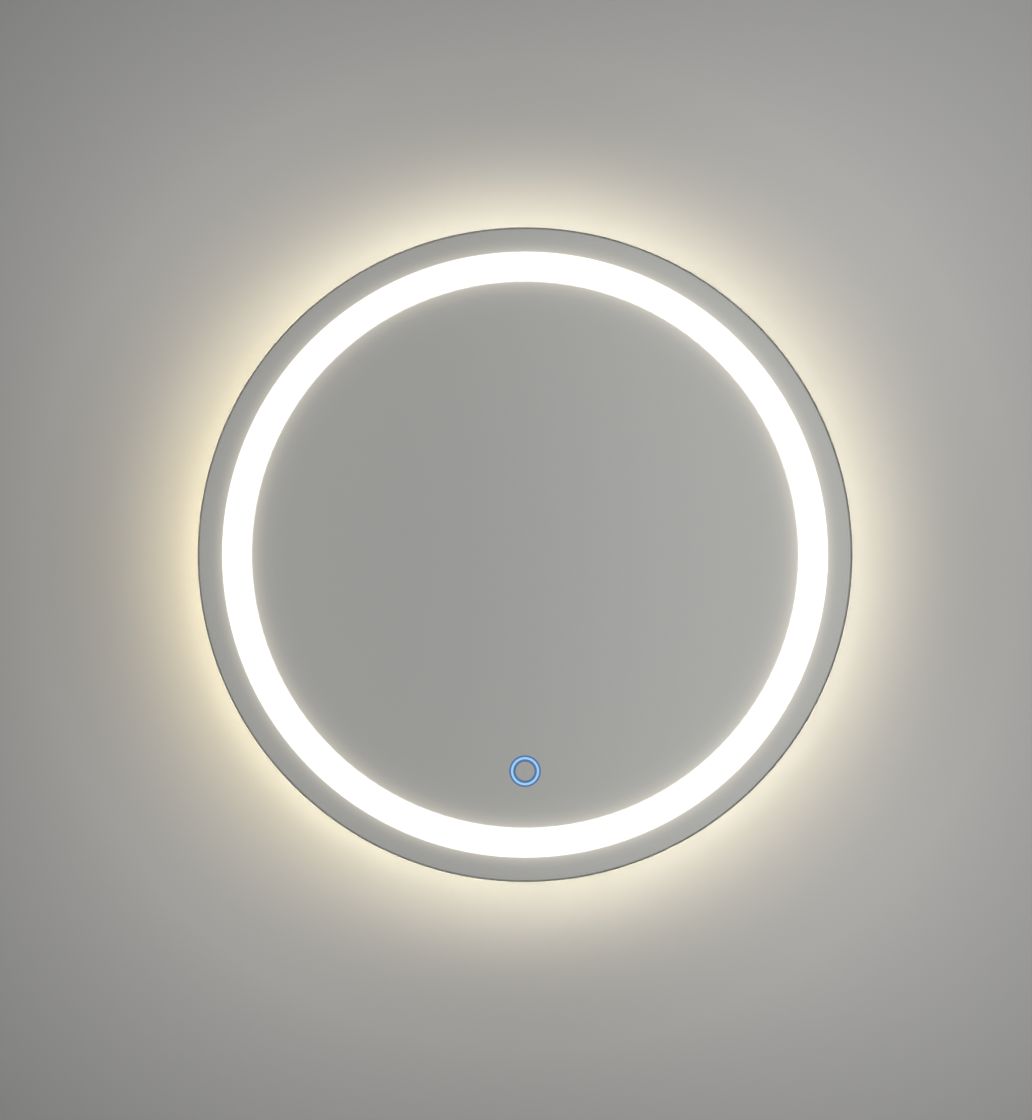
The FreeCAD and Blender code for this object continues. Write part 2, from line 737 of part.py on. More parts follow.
def make_hook_rail():
    """The rail on the mirror: its lip hangs behind the wall rail's lip and its step rests on it."""
    step_top = f"{LIP_TOP} + rail_thickness"
    lip_front = "rail_clearance + rail_thickness"
    flange_rear = f"{CROSSBAR_REAR} - rail_thickness"
    flange_top = f"{LIP_TOP} + hook_flange_height"
    rail = extruded_bar("hook_rail", [
        ("rail_clearance", f"{LIP_TOP} - hook_reach"),
        ("rail_clearance", step_top),
        (flange_rear, step_top),
        (flange_rear, flange_top),
        (CROSSBAR_REAR, flange_top),
        (CROSSBAR_REAR, LIP_TOP),
        (lip_front, LIP_TOP),
        (lip_front, f"{LIP_TOP} - hook_reach"),
    ], "hook_rail_length", WALL_PLACE)
    recess(rail, circles(RIVET_HOLE, hook_rivet_places()), flange_rear, CROSSBAR_REAR)
    rivets("hook_rivets", hook_rivet_places(), WALL_PLACE, flange_rear, CHASSIS_REAR,
           "rivet_diameter", "rivet_head_diameter")


def make_bumpers():
    """Rubber feet on the lower crossbar that hold the bottom of the mirror off the wall."""
    bumpers = new_body("wall_bumpers")
    places = both_sides("bumper_spacing / 2", "-lower_crossbar_drop")
    slab(bumpers, circles("bumper_diameter", places), "0", CROSSBAR_REAR)


# ---- plastic boxes ----------------------------------------------------------------------------

def four_corners(x, z):
    """The four places at the given distances to each side and up and down."""
    return [(f"{across}({x})", f"{up}({z})") for across in ("-", "") for up in ("-", "")]


def boss_places(length, height):
    return four_corners(f"({length}) / 2 - boss_inset", f"({height}) / 2 - boss_inset")


def box_base(label, centre, length, height, rear):
    """A moulded tray, open towards the wall, with a screw boss in each corner."""
    base = new_body(label, centre)
    rim = f"({rear} + cover_thickness)"
    floor = f"{BOX_FRONT} - box_wall"
    slab(base, rectangle(length, height), rim, BOX_FRONT)
    round_corners(base, "box_corner")
    recess(base, rectangle(f"{length} - 2 * box_wall", f"{height} - 2 * box_wall"), rim, floor)
    places = boss_places(length, height)
    slab(base, circles("boss_diameter", places), rim, floor)
    recess(base, circles("box_screw_diameter + 2 * thread_clearance", places),
           rim, f"{rear} + box_screw_length + thread_clearance")
    return base


def box_cover(label, centre, length, height, rear):
    """A flat cover with a tongue inside each long wall."""
    cover = new_body(label, centre)
    front = f"({rear} + cover_thickness)"
    slab(cover, rectangle(length, height), rear, front)
    round_corners(cover, "box_corner")

    def tongues(sketch):
        inset = f"{height} / 2 - box_wall - cover_clearance - cover_tongue / 2"
        for side in ("-", ""):
            draw_rectangle(sketch, f"{length} - 4 * boss_inset", "cover_tongue", "0", f"{side}({inset})")

    slab(cover, tongues, front, f"{front} + cover_tongue")
    recess(cover, circles("box_screw_diameter + 2 * screw_clearance", boss_places(length, height)),
           rear, front)
    return cover


def box_screws(label, centre, length, height, rear):
    screws = new_body(label, centre)
    places = boss_places(length, height)
    slab(screws, circles("box_screw_head_diameter", places), f"{rear} - box_screw_head_height", rear)
    slab(screws, circles("box_screw_diameter", places), rear, f"{rear} + box_screw_length")


def box_pads(label, centre, length, height):
    """Two strips of foam tape that hold a box to the film."""
    pads = new_body(label, centre)

    def outline(sketch):
        for x, _ in both_sides(f"({length} / 2 - pad_width)", "0"):
            draw_rectangle(sketch, "pad_width", f"{height} - 2 * box_corner", x)

    slab(pads, outline, BOX_FRONT, FILM_REAR)


def bush_hole(lead):
    return f"({lead} + 2 * bush_wall + 2 * bush_clearance)"


# ---- LED driver -------------------------------------------------------------------------------

DRIVER_REAR = f"({BOX_FRONT} - driver_box_depth)"


def make_driver_box():
    size = ("driver_length", "driver_height")
    base = box_base("driver_base", DRIVER_PLACE, *size, DRIVER_REAR)
    posts = four_corners("driver_length / 2 - 2 * boss_diameter - board_notch", "driver_height / 4")
    slab(base, circles("boss_diameter / 2", posts), f"{BOARD_REAR} + board_thickness",
         f"{BOX_FRONT} - box_wall")
    bore_along_x(base, bush_hole("lead_diameter"), DRIVER_LEAD_DEPTH, "0",
                 "-driver_length / 2 + box_wall", "box_wall")
    bore_along_x(base, bush_hole("mains_lead_diameter"), DRIVER_LEAD_DEPTH, "0",
                 "driver_length / 2", "box_wall")
    box_cover("driver_cover", DRIVER_PLACE, *size, DRIVER_REAR)
    box_screws("driver_screws", DRIVER_PLACE, *size, DRIVER_REAR)
    box_pads("driver_pads", DRIVER_PLACE, *size)


def on_driver_board(label, draw, height="component_height"):
    body = new_body(label, DRIVER_PLACE)
    slab(body, draw, f"{BOARD_REAR} - {height}", BOARD_REAR)
    return body


def make_driver_board():
    """The board stands on posts, and its corners are cut back round the screw bosses."""
    half_length = "(driver_length / 2 - box_wall - board_margin)"
    half_height = "(driver_height / 2 - box_wall - board_margin)"
    corners = []
    for across, up in (("-", "-"), ("", "-"), ("", ""), ("-", "")):
        side_step = (f"{across}{half_length}", f"{up}({half_height} - board_notch)")
        end_step = (f"{across}({half_length} - board_notch)", f"{up}{half_height}")
        inner = (end_step[0], side_step[1])
        steps = [side_step, inner, end_step]
        corners += steps if across == up else steps[::-1]
    board = new_body("driver_board", DRIVER_PLACE)
    slab(board, lambda sketch: draw_polygon(sketch, corners), BOARD_REAR,
         f"{BOARD_REAR} + board_thickness")


def make_driver_components():
    transformer = on_driver_board("driver_transformer", rectangle("transformer_length", "transformer_width"))
    slab(transformer, rectangle("coil_length", "coil_width"),
         f"{BOARD_REAR} - component_height + coil_inset", f"{BOARD_REAR} - coil_inset")

    bank = [("-driver_length / 3", "capacitor_diameter"),
            ("-driver_length / 3 + capacitor_pitch", "capacitor_diameter"),
            ("driver_length / 4", "-capacitor_diameter")]
    on_driver_board("driver_capacitors", circles("capacitor_diameter", bank))

    choke = doc.addObject("Part::Torus", "driver_choke")
    choke.Label = "driver_choke"
    bind(choke, "Radius1", "choke_radius")
    bind(choke, "Radius2", "choke_wire")
    choke.Placement = FreeCAD.Placement(FreeCAD.Vector(), FreeCAD.Rotation(FreeCAD.Vector(1, 0, 0), 90))
    bind(choke, "Placement.Base.x", "driver_x + driver_length / 4")
    bind(choke, "Placement.Base.y", f"-({BOARD_REAR} - choke_wire)")
    bind(choke, "Placement.Base.z", f"{DRIVER_PLACE[1]} + choke_radius + choke_wire")

    sink_x = "-driver_length / 4"
    sink_z = "(-driver_height / 3)"
    sink = on_driver_board("driver_heat_sink",
                           rectangle("heat_sink_length", "heat_sink_thickness", sink_x, sink_z))
    for step in (-2, -1, 0, 1, 2):
        fin = rectangle("heat_sink_thickness / 2", "fin_length", f"{sink_x} + {step} * fin_pitch",
                        f"{sink_z} + fin_length / 2")
        slab(sink, fin, f"{BOARD_REAR} - component_height", BOARD_REAR)

    def blocks(sketch):
        for x, z in both_sides("(driver_length / 2 - 2 * terminal_pitch)", "0"):
            draw_rectangle(sketch, "terminal_pitch", "2 * terminal_pitch", x, z)

    on_driver_board("driver_terminals", blocks, "terminal_block_height / 2")


# ---- terminal box -----------------------------------------------------------------------------

TERMINAL_REAR = f"({BOX_FRONT} - terminal_box_depth)"
GROMMET_R = "(cable_hole / 2 + grommet_wall)"
BLOCK_X = "(-terminal_block_length * 2 / 3)"


def make_terminal_box():
    size = ("terminal_box_length", "terminal_box_height")
    base = box_base("terminal_box_base", TERMINAL_PLACE, *size, TERMINAL_REAR)
    bore_along_x(base, bush_hole("mains_lead_diameter"), DRIVER_LEAD_DEPTH, "0",
                 "-terminal_box_length / 2 + box_wall", "box_wall")
    cover = box_cover("terminal_box_cover", TERMINAL_PLACE, *size, TERMINAL_REAR)
    recess(cover, circles(f"2 * {GROMMET_R} + 2 * bush_clearance", [("grommet_x", "0")]),
           TERMINAL_REAR, f"{TERMINAL_REAR} + cover_thickness")
    box_screws("terminal_box_screws", TERMINAL_PLACE, *size, TERMINAL_REAR)
    box_pads("terminal_box_pads", TERMINAL_PLACE, *size)


def make_terminal_block():
    """Three poles side by side, with two clamping screws each, their heads towards the wall."""
    front = f"{BOX_FRONT} - box_wall"
    rear = f"({front} - terminal_block_height)"
    block = new_body("terminal_block", TERMINAL_PLACE)
    slab(block, rectangle("terminal_block_length", "3 * terminal_pitch", BLOCK_X), rear, front)
    places = [(f"{BLOCK_X} {side} terminal_block_length / 4", f"{pole} * terminal_pitch")
              for side in ("-", "+") for pole in (-1, 0, 1)]
    sunk = f"{rear} + terminal_screw_diameter"
    recess(block, circles("terminal_screw_diameter + 2 * thread_clearance", places), rear, sunk)
    screws = new_body("terminal_screws", TERMINAL_PLACE)
    slab(screws, circles("terminal_screw_diameter", places), f"{rear} + thread_clearance", sunk)


def make_cable_grommet():
    """A rubber grommet in the terminal box's cover, where the mains cable comes in from the wall."""
    flange_rear = f"{TERMINAL_REAR} - grommet_flange_thickness"
    cover_front = f"{TERMINAL_REAR} + cover_thickness"
    turned_ring("cable_grommet", [
        ("cable_hole / 2", f"{flange_rear} - grommet_neck"),
        (f"{GROMMET_R} - grommet_wall / 2", f"{flange_rear} - grommet_neck"),
        (GROMMET_R, flange_rear),
        (f"{GROMMET_R} + grommet_flange", flange_rear),
        (f"{GROMMET_R} + grommet_flange", TERMINAL_REAR),
        (GROMMET_R, TERMINAL_REAR),
        (GROMMET_R, cover_front),
        (f"{GROMMET_R} + grommet_flange", cover_front),
        (f"{GROMMET_R} + grommet_flange / 2", f"{cover_front} + grommet_flange_thickness"),
        ("cable_hole / 2", f"{cover_front} + grommet_flange_thickness"),
    ], (f"{TERMINAL_X} + grommet_x", TERMINAL_PLACE[1]))


# ---- touch switch -----------------------------------------------------------------------------

# The driver's lead comes in on the left, above the lead that leaves for the back strip. The lead
# for the front strip leaves on the right.
SWITCH_EXITS = [("-", "switch_exit_offset"), ("-", "-switch_exit_offset"), ("", "0")]


def make_switch_housing():
    """A shallow housing behind the switch ring, open to the glass."""
    housing = new_body("switch_housing", SWITCH_PLACE)
    slab(housing, rectangle("switch_length", "switch_height"), SWITCH_REAR, SWITCH_FRONT)
    round_corners(housing, "box_corner")
    floor = f"{SWITCH_REAR} + switch_wall"
    inside = rectangle("switch_length - 2 * switch_wall", "switch_height - 2 * switch_wall")
    recess(housing, inside, floor, SWITCH_FRONT)
    posts = four_corners("switch_length / 2 - 2 * boss_inset", "switch_height / 2 - boss_inset")
    slab(housing, circles("boss_diameter / 2", posts), floor, f"{SWITCH_BOARD_FRONT} - board_thickness")
    for side, z in SWITCH_EXITS:
        right = "switch_length / 2" if side == "" else "-switch_length / 2 + switch_wall"
        bore_along_x(housing, bush_hole("lead_diameter"), SWITCH_LEAD_DEPTH, z, right, "switch_wall")
    pad = new_body("switch_pad", SWITCH_PLACE)

    def frame(sketch):
        draw_rectangle(sketch, "switch_length", "switch_height")
        draw_rectangle(sketch, "switch_length - 2 * switch_pad_width",
                       "switch_height - 2 * switch_pad_width")

    slab(pad, frame, SWITCH_FRONT, COATING_REAR)


def make_switch_board():
    board = new_body("switch_board", SWITCH_PLACE)
    rear = f"({SWITCH_BOARD_FRONT} - board_thickness)"
    edge = "2 * (switch_wall + switch_board_margin)"
    slab(board, rectangle(f"switch_length - {edge}", f"switch_height - {edge}"), rear, SWITCH_BOARD_FRONT)
    chips = new_body("switch_components", SWITCH_PLACE)

    def outlines(sketch):
        draw_rectangle(sketch, "chip_size", "chip_size")
        for place_number in (-2, -1, 1, 2):
            draw_rectangle(sketch, "chip_size / 4", "chip_size / 2", f"{place_number} * chip_size")

    slab(chips, outlines, f"{rear} - chip_height", rear)


def make_switch_lights():
    """Blue LEDs under a ring of clear plastic that carries their light to the frosted ring."""
    leds_front = f"({SWITCH_BOARD_FRONT} + led_height)"
    leds = new_body("switch_leds", SWITCH_PLACE)
    led = slab(leds, rectangle("led_length", "led_width", "switch_ring_diameter / 2"),
               SWITCH_BOARD_FRONT, leds_front)
    ring_pattern(leds, led, "switch_led_count")
    guide = flat_ring("switch_light_guide", f"({RING_INNER}) / 2 - switch_led_gap",
                      f"({RING_OUTER}) / 2 + switch_led_gap", f"{leds_front} + switch_led_gap", COATING_REAR)
    place(guide, SWITCH_PLACE)
    electrode = new_body("switch_electrode", SWITCH_PLACE)
    plate_rear = f"{COATING_REAR} - electrode_thickness"
    slab(electrode, circles("electrode_diameter", [("0", "0")]), plate_rear, COATING_REAR)
    slab(electrode, circles("electrode_stem", [("0", "0")]), SWITCH_BOARD_FRONT, plate_rear)


# ---- leads ------------------------------------------------------------------------------------

# LEAD_INSIDE is how far a lead reaches past the inner face of a box's wall.
FILM_LEAD_DEPTH = f"({FILM_REAR} - lead_diameter / 2 - clip_floor)"
LEAD_INSIDE = "(1.5 * bush_flange_thickness)"
SWITCH_LEAD_END = f"(switch_length / 2 - switch_wall - {LEAD_INSIDE})"
STRIP_LEAD_R = f"({STRIP_SEAT_R} - strip_thickness - 2 * led_height)"

# Each route is a list of points in the mirror's own frame: x, depth and height. A fourth word says
# what holds the run that starts there.
SWITCH_LEAD_HEIGHT = f"(switch_exit_offset - {SWITCH_DROP})"
SWITCH_LEAD_ROUTE = [
    (f"{DRIVER_LEFT} + box_wall + {LEAD_INSIDE}", DRIVER_LEAD_DEPTH, "driver_above_centre"),
    (f"{DRIVER_LEFT} - 12", DRIVER_LEAD_DEPTH, "driver_above_centre"),
    (f"{DRIVER_LEFT} - 30", f"({DRIVER_LEAD_DEPTH} + {FILM_LEAD_DEPTH}) / 2", "driver_above_centre - 8"),
    (f"{DRIVER_LEFT} - 41", FILM_LEAD_DEPTH, "driver_above_centre - 28", "clip"),
    ("-154", FILM_LEAD_DEPTH, "-15", "connector"),
    ("-150", FILM_LEAD_DEPTH, "-60"),
    ("-138", FILM_LEAD_DEPTH, "-105", "clip"),
    ("-114", FILM_LEAD_DEPTH, "-145", "clip"),
    ("-82", FILM_LEAD_DEPTH, "-172"),
    ("-56", f"({FILM_LEAD_DEPTH} + {SWITCH_LEAD_DEPTH}) / 2", f"{SWITCH_LEAD_HEIGHT} + 4"),
    ("-switch_length / 2 - 11", SWITCH_LEAD_DEPTH, SWITCH_LEAD_HEIGHT),
    (f"-{SWITCH_LEAD_END}", SWITCH_LEAD_DEPTH, SWITCH_LEAD_HEIGHT),
]

FRONT_STRIP_ROUTE = [
    (SWITCH_LEAD_END, SWITCH_LEAD_DEPTH, SWITCH_Z),
    ("switch_length / 2 + 11", SWITCH_LEAD_DEPTH, SWITCH_Z),
    ("front_entry_x - 5", f"({SWITCH_LEAD_DEPTH} + {CHAMBER_MIDDLE}) / 2", f"{SWITCH_Z} - 8"),
    ("front_entry_x", CHAMBER_MIDDLE, f"{SWITCH_Z} - 22"),
    ("front_entry_x", CHAMBER_MIDDLE, f"-sqrt({STRIP_LEAD_R} ^ 2 - front_entry_x ^ 2)"),
]

BACK_LEAD_HEIGHT = f"({SWITCH_Z} - switch_exit_offset)"
BACK_STRIP_ROUTE = [
    (f"-{SWITCH_LEAD_END}", SWITCH_LEAD_DEPTH, BACK_LEAD_HEIGHT),
    ("-switch_length / 2 - 10", SWITCH_LEAD_DEPTH, BACK_LEAD_HEIGHT),
    ("-back_entry_x + 9", f"{SWITCH_LEAD_DEPTH} - 4.5", f"{BACK_LEAD_HEIGHT} - 6"),
    ("-back_entry_x + 2", f"{BACK_LEAD_DEPTH} + 6", f"{BACK_LEAD_HEIGHT} - 17"),
    ("-back_entry_x", BACK_LEAD_DEPTH, f"{BACK_LEAD_HEIGHT} - 33"),
    ("-back_entry_x", BACK_LEAD_DEPTH, f"-sqrt(({WEB_OUTER_R} + 2) ^ 2 - back_entry_x ^ 2)"),
]

MAINS_LEAD_ROUTE = [
    (f"{DRIVER_RIGHT} - box_wall - {LEAD_INSIDE}", DRIVER_LEAD_DEPTH, "driver_above_centre"),
    (f"{DRIVER_RIGHT} + terminal_box_gap + box_wall + {LEAD_INSIDE}", DRIVER_LEAD_DEPTH,
     "driver_above_centre"),
]

BEND_SHARE = 0.45


def point(x, depth, z):
    return FreeCAD.Vector(value(x), -value(depth), value(z))


def rounded_path(points):
    """Straight runs joined by tangent arcs, each as large as its two runs allow."""
    edges = []
    start = points[0]
    for before, corner, after in zip(points, points[1:], points[2:]):
        into = (corner - before).normalize()
        out = (after - corner).normalize()
        half_turn = into.getAngle(out) / 2
        cut = BEND_SHARE * min(before.distanceToPoint(corner), corner.distanceToPoint(after))
        radius = cut / math.tan(half_turn)
        inwards = (out - into).normalize()
        middle = corner + inwards * (radius / math.cos(half_turn) - radius)
        arc_start = corner - into * cut
        arc_end = corner + out * cut
        edges.append(Part.LineSegment(start, arc_start).toShape())
        edges.append(Part.Arc(arc_start, middle, arc_end).toShape())
        start = arc_end
    edges.append(Part.LineSegment(start, points[-1]).toShape())
    return Part.Wire(edges)


def add_feature(label, shape):
    feature = doc.addObject("Part::Feature", label)
    feature.Label = label
    feature.Shape = shape
    place(feature, MIRROR_CENTRE)


def make_lead(label, route, diameter):
    points = [point(*texts[:3]) for texts in route]
    path = rounded_path(points)
    radius = value(diameter) / 2
    circle = Part.makeCircle(radius, points[0], points[1] - points[0])
    lead = path.makePipeShell([Part.Wire(circle)], True, False)
    expected = math.pi * radius ** 2 * path.Length
    if abs(lead.Volume / expected - 1) > 0.01:
        raise RuntimeError(f"{label} isn't a clean tube")
    add_feature(label, lead)


def make_leads():
    make_lead("switch_lead", SWITCH_LEAD_ROUTE, "lead_diameter")
    make_lead("front_strip_lead", FRONT_STRIP_ROUTE, "lead_diameter")
    make_lead("back_strip_lead", BACK_STRIP_ROUTE, "lead_diameter")
    make_lead("mains_lead", MAINS_LEAD_ROUTE, "mains_lead_diameter")


def bush(place_texts, outwards, lead, wall):
    """A rubber bush in a flat wall: a sleeve with a flange on each face of the wall."""
    outer_face = point(*place_texts)
    inner_face = outer_face - outwards * value(wall)
    thickness = value("bush_flange_thickness")
    sleeve_radius = value(f"({lead}) / 2 + bush_wall")
    flange_radius = sleeve_radius + value("bush_flange")
    sleeve = Part.makeCylinder(sleeve_radius, value(wall), inner_face, outwards)
    flanges = [Part.makeCylinder(flange_radius, thickness, start, outwards)
               for start in (outer_face, inner_face - outwards * thickness)]
    body = sleeve.multiFuse(flanges)
    reach = value(wall) + 4 * thickness
    hole = Part.makeCylinder(value(f"({lead}) / 2 + thread_clearance"), reach,
                             inner_face - outwards * 2 * thickness, outwards)
    return body.cut(hole)


def make_bushes():
    left, right = FreeCAD.Vector(-1, 0, 0), FreeCAD.Vector(1, 0, 0)
    height = "driver_above_centre"
    bushes = [
        bush((DRIVER_LEFT, DRIVER_LEAD_DEPTH, height), left, "lead_diameter", "box_wall"),
        bush((DRIVER_RIGHT, DRIVER_LEAD_DEPTH, height), right, "mains_lead_diameter", "box_wall"),
        bush((f"{DRIVER_RIGHT} + terminal_box_gap", DRIVER_LEAD_DEPTH, height), left,
             "mains_lead_diameter", "box_wall"),
    ]
    for side, z in SWITCH_EXITS:
        outer_face = (f"{side}switch_length / 2", SWITCH_LEAD_DEPTH, f"{z} - {SWITCH_DROP}")
        outwards = right if side == "" else left
        bushes.append(bush(outer_face, outwards, "lead_diameter", "switch_wall"))
    wall_z = f"-sqrt({TRAY_INNER_R} ^ 2 - front_entry_x ^ 2)"
    sleeve_top = point("front_entry_x", CHAMBER_MIDDLE, f"{wall_z} + bush_flange_thickness")
    down = FreeCAD.Vector(0, 0, -1)
    length = value("tray_wall + 3 * bush_flange_thickness")
    sleeve = Part.makeCylinder(value("lead_diameter / 2 + bush_wall"), length, sleeve_top, down)
    hole = Part.makeCylinder(value("lead_diameter / 2 + thread_clearance"), length, sleeve_top, down)
    bushes.append(sleeve.cut(hole))
    add_feature("lead_bushes", Part.Compound(bushes))


def block_on_lead(start, end, clearance, offset=0):
    """A block stuck to the film with the switch lead passing through it, midway along a run."""
    length = value("clip_length")
    along = (end - start).normalize()
    to_wall = FreeCAD.Vector(0, 1, 0)
    radius = value(f"lead_diameter / 2 + {clearance}")
    width = 2 * (radius + value("clip_wall"))
    to_film = value(f"{FILM_REAR} - {FILM_LEAD_DEPTH}")
    height = to_film + radius + value("clip_wall")
    block = Part.makeBox(length, width, height, FreeCAD.Vector(-length / 2 + offset, -width / 2, -to_film))
    hole_start = FreeCAD.Vector(-length + offset, 0, 0)
    shape = block.cut(Part.makeCylinder(radius, 2 * length, hole_start, FreeCAD.Vector(1, 0, 0)))
    turn = FreeCAD.Rotation(along, FreeCAD.Vector(), to_wall, "XZY")
    shape.Placement = FreeCAD.Placement((start + end) / 2, turn)
    return shape


def runs_held_by(word):
    for start, end in zip(SWITCH_LEAD_ROUTE, SWITCH_LEAD_ROUTE[1:]):
        if start[-1] == word:
            yield point(*start[:3]), point(*end[:3])


def make_clips_and_connector():
    clips = [block_on_lead(start, end, "clip_clearance") for start, end in runs_held_by("clip")]
    add_feature("lead_clips", Part.Compound(clips))
    half_step = value("clip_length / 2 + clip_clearance")
    halves = [block_on_lead(start, end, "connector_clearance", side * half_step)
              for start, end in runs_held_by("connector") for side in (-1, 1)]
    add_feature("lead_connector", Part.Compound(halves))


# ---- the whole mirror -------------------------------------------------------------------------

def make_all():
    fill_sheet()
    make_glass()
    make_coating()
    make_safety_film()
    make_chassis_ring()
    make_splice()
    make_bond_and_seals()
    make_light_tray()
    make_diffusers()
    make_light_strips()
    make_crossbars()
    make_wall_rail()
    make_hook_rail()
    make_bumpers()
    make_driver_box()
    make_driver_board()
    make_driver_components()
    make_terminal_box()
    make_terminal_block()
    make_cable_grommet()
    make_switch_housing()
    make_switch_board()
    make_switch_lights()
    make_leads()
    make_bushes()
    make_clips_and_connector()
    doc.recompute()


def sub_parts():
    kinds = ("PartDesign::Body", "Part::Feature", "Part::Torus")
    return [item for item in doc.Objects if item.TypeId in kinds]


def check_and_write():
    for item in doc.Objects:
        if {"Invalid", "Error"} & set(item.State):
            raise RuntimeError(f"{item.Label} failed: {item.State}")
    for item in sub_parts():
        if item.Shape.isNull() or not item.Shape.isValid():
            raise RuntimeError(f"{item.Label} has no valid shape")
    os.makedirs(PARTS_FOLDER, exist_ok=True)
    for item in sub_parts():
        item.Shape.exportStep(os.path.join(PARTS_FOLDER, f"{item.Label}.step"))


make_all()
check_and_write()
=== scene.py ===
import math

import bmesh
import bpy
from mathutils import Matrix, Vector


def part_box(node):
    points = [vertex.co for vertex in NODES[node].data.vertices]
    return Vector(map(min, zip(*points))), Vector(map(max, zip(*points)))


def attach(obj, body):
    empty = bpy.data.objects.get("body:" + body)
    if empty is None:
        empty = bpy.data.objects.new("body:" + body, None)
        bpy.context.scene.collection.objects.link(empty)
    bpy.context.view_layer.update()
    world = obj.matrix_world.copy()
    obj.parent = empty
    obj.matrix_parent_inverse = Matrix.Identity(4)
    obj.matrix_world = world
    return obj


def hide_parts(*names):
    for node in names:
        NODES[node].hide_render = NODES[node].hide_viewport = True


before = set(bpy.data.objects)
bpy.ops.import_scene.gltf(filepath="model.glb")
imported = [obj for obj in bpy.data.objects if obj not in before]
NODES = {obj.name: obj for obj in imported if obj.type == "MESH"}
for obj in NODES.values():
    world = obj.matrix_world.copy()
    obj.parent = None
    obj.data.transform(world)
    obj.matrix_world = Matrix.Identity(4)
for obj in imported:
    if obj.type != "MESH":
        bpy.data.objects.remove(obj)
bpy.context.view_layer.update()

# The row frame: metres, +Z up, the wall is y = 0 and the mirror faces -Y.
GLASS_LOW, GLASS_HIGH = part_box("mirror_glass")
GLASS_FRONT, GLASS_REAR = GLASS_LOW.y, GLASS_HIGH.y
GLASS_R = (GLASS_HIGH.z - GLASS_LOW.z) / 2
CENTRE_Z = (GLASS_HIGH.z + GLASS_LOW.z) / 2
SWITCH_Z = sum(corner.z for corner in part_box("switch_light_guide")) / 2
SILVER_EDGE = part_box("silver_coating")[1].z - CENTRE_Z
SIDE_FRONT, SIDE_REAR = (corner.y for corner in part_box("side_diffuser"))
MIDDLE = Vector((0, 0, CENTRE_Z))

# The glass is frosted, and the silver left off, between these radii.
BAND_INNER, BAND_OUTER = 0.2505, 0.278
RING_INNER, RING_OUTER = 0.0093, 0.0139


# ---- material kit -----------------------------------------------------------------------------

# Most of a noise texture's values lie between these.
NOISE_LOW, NOISE_HIGH = 0.3, 0.7


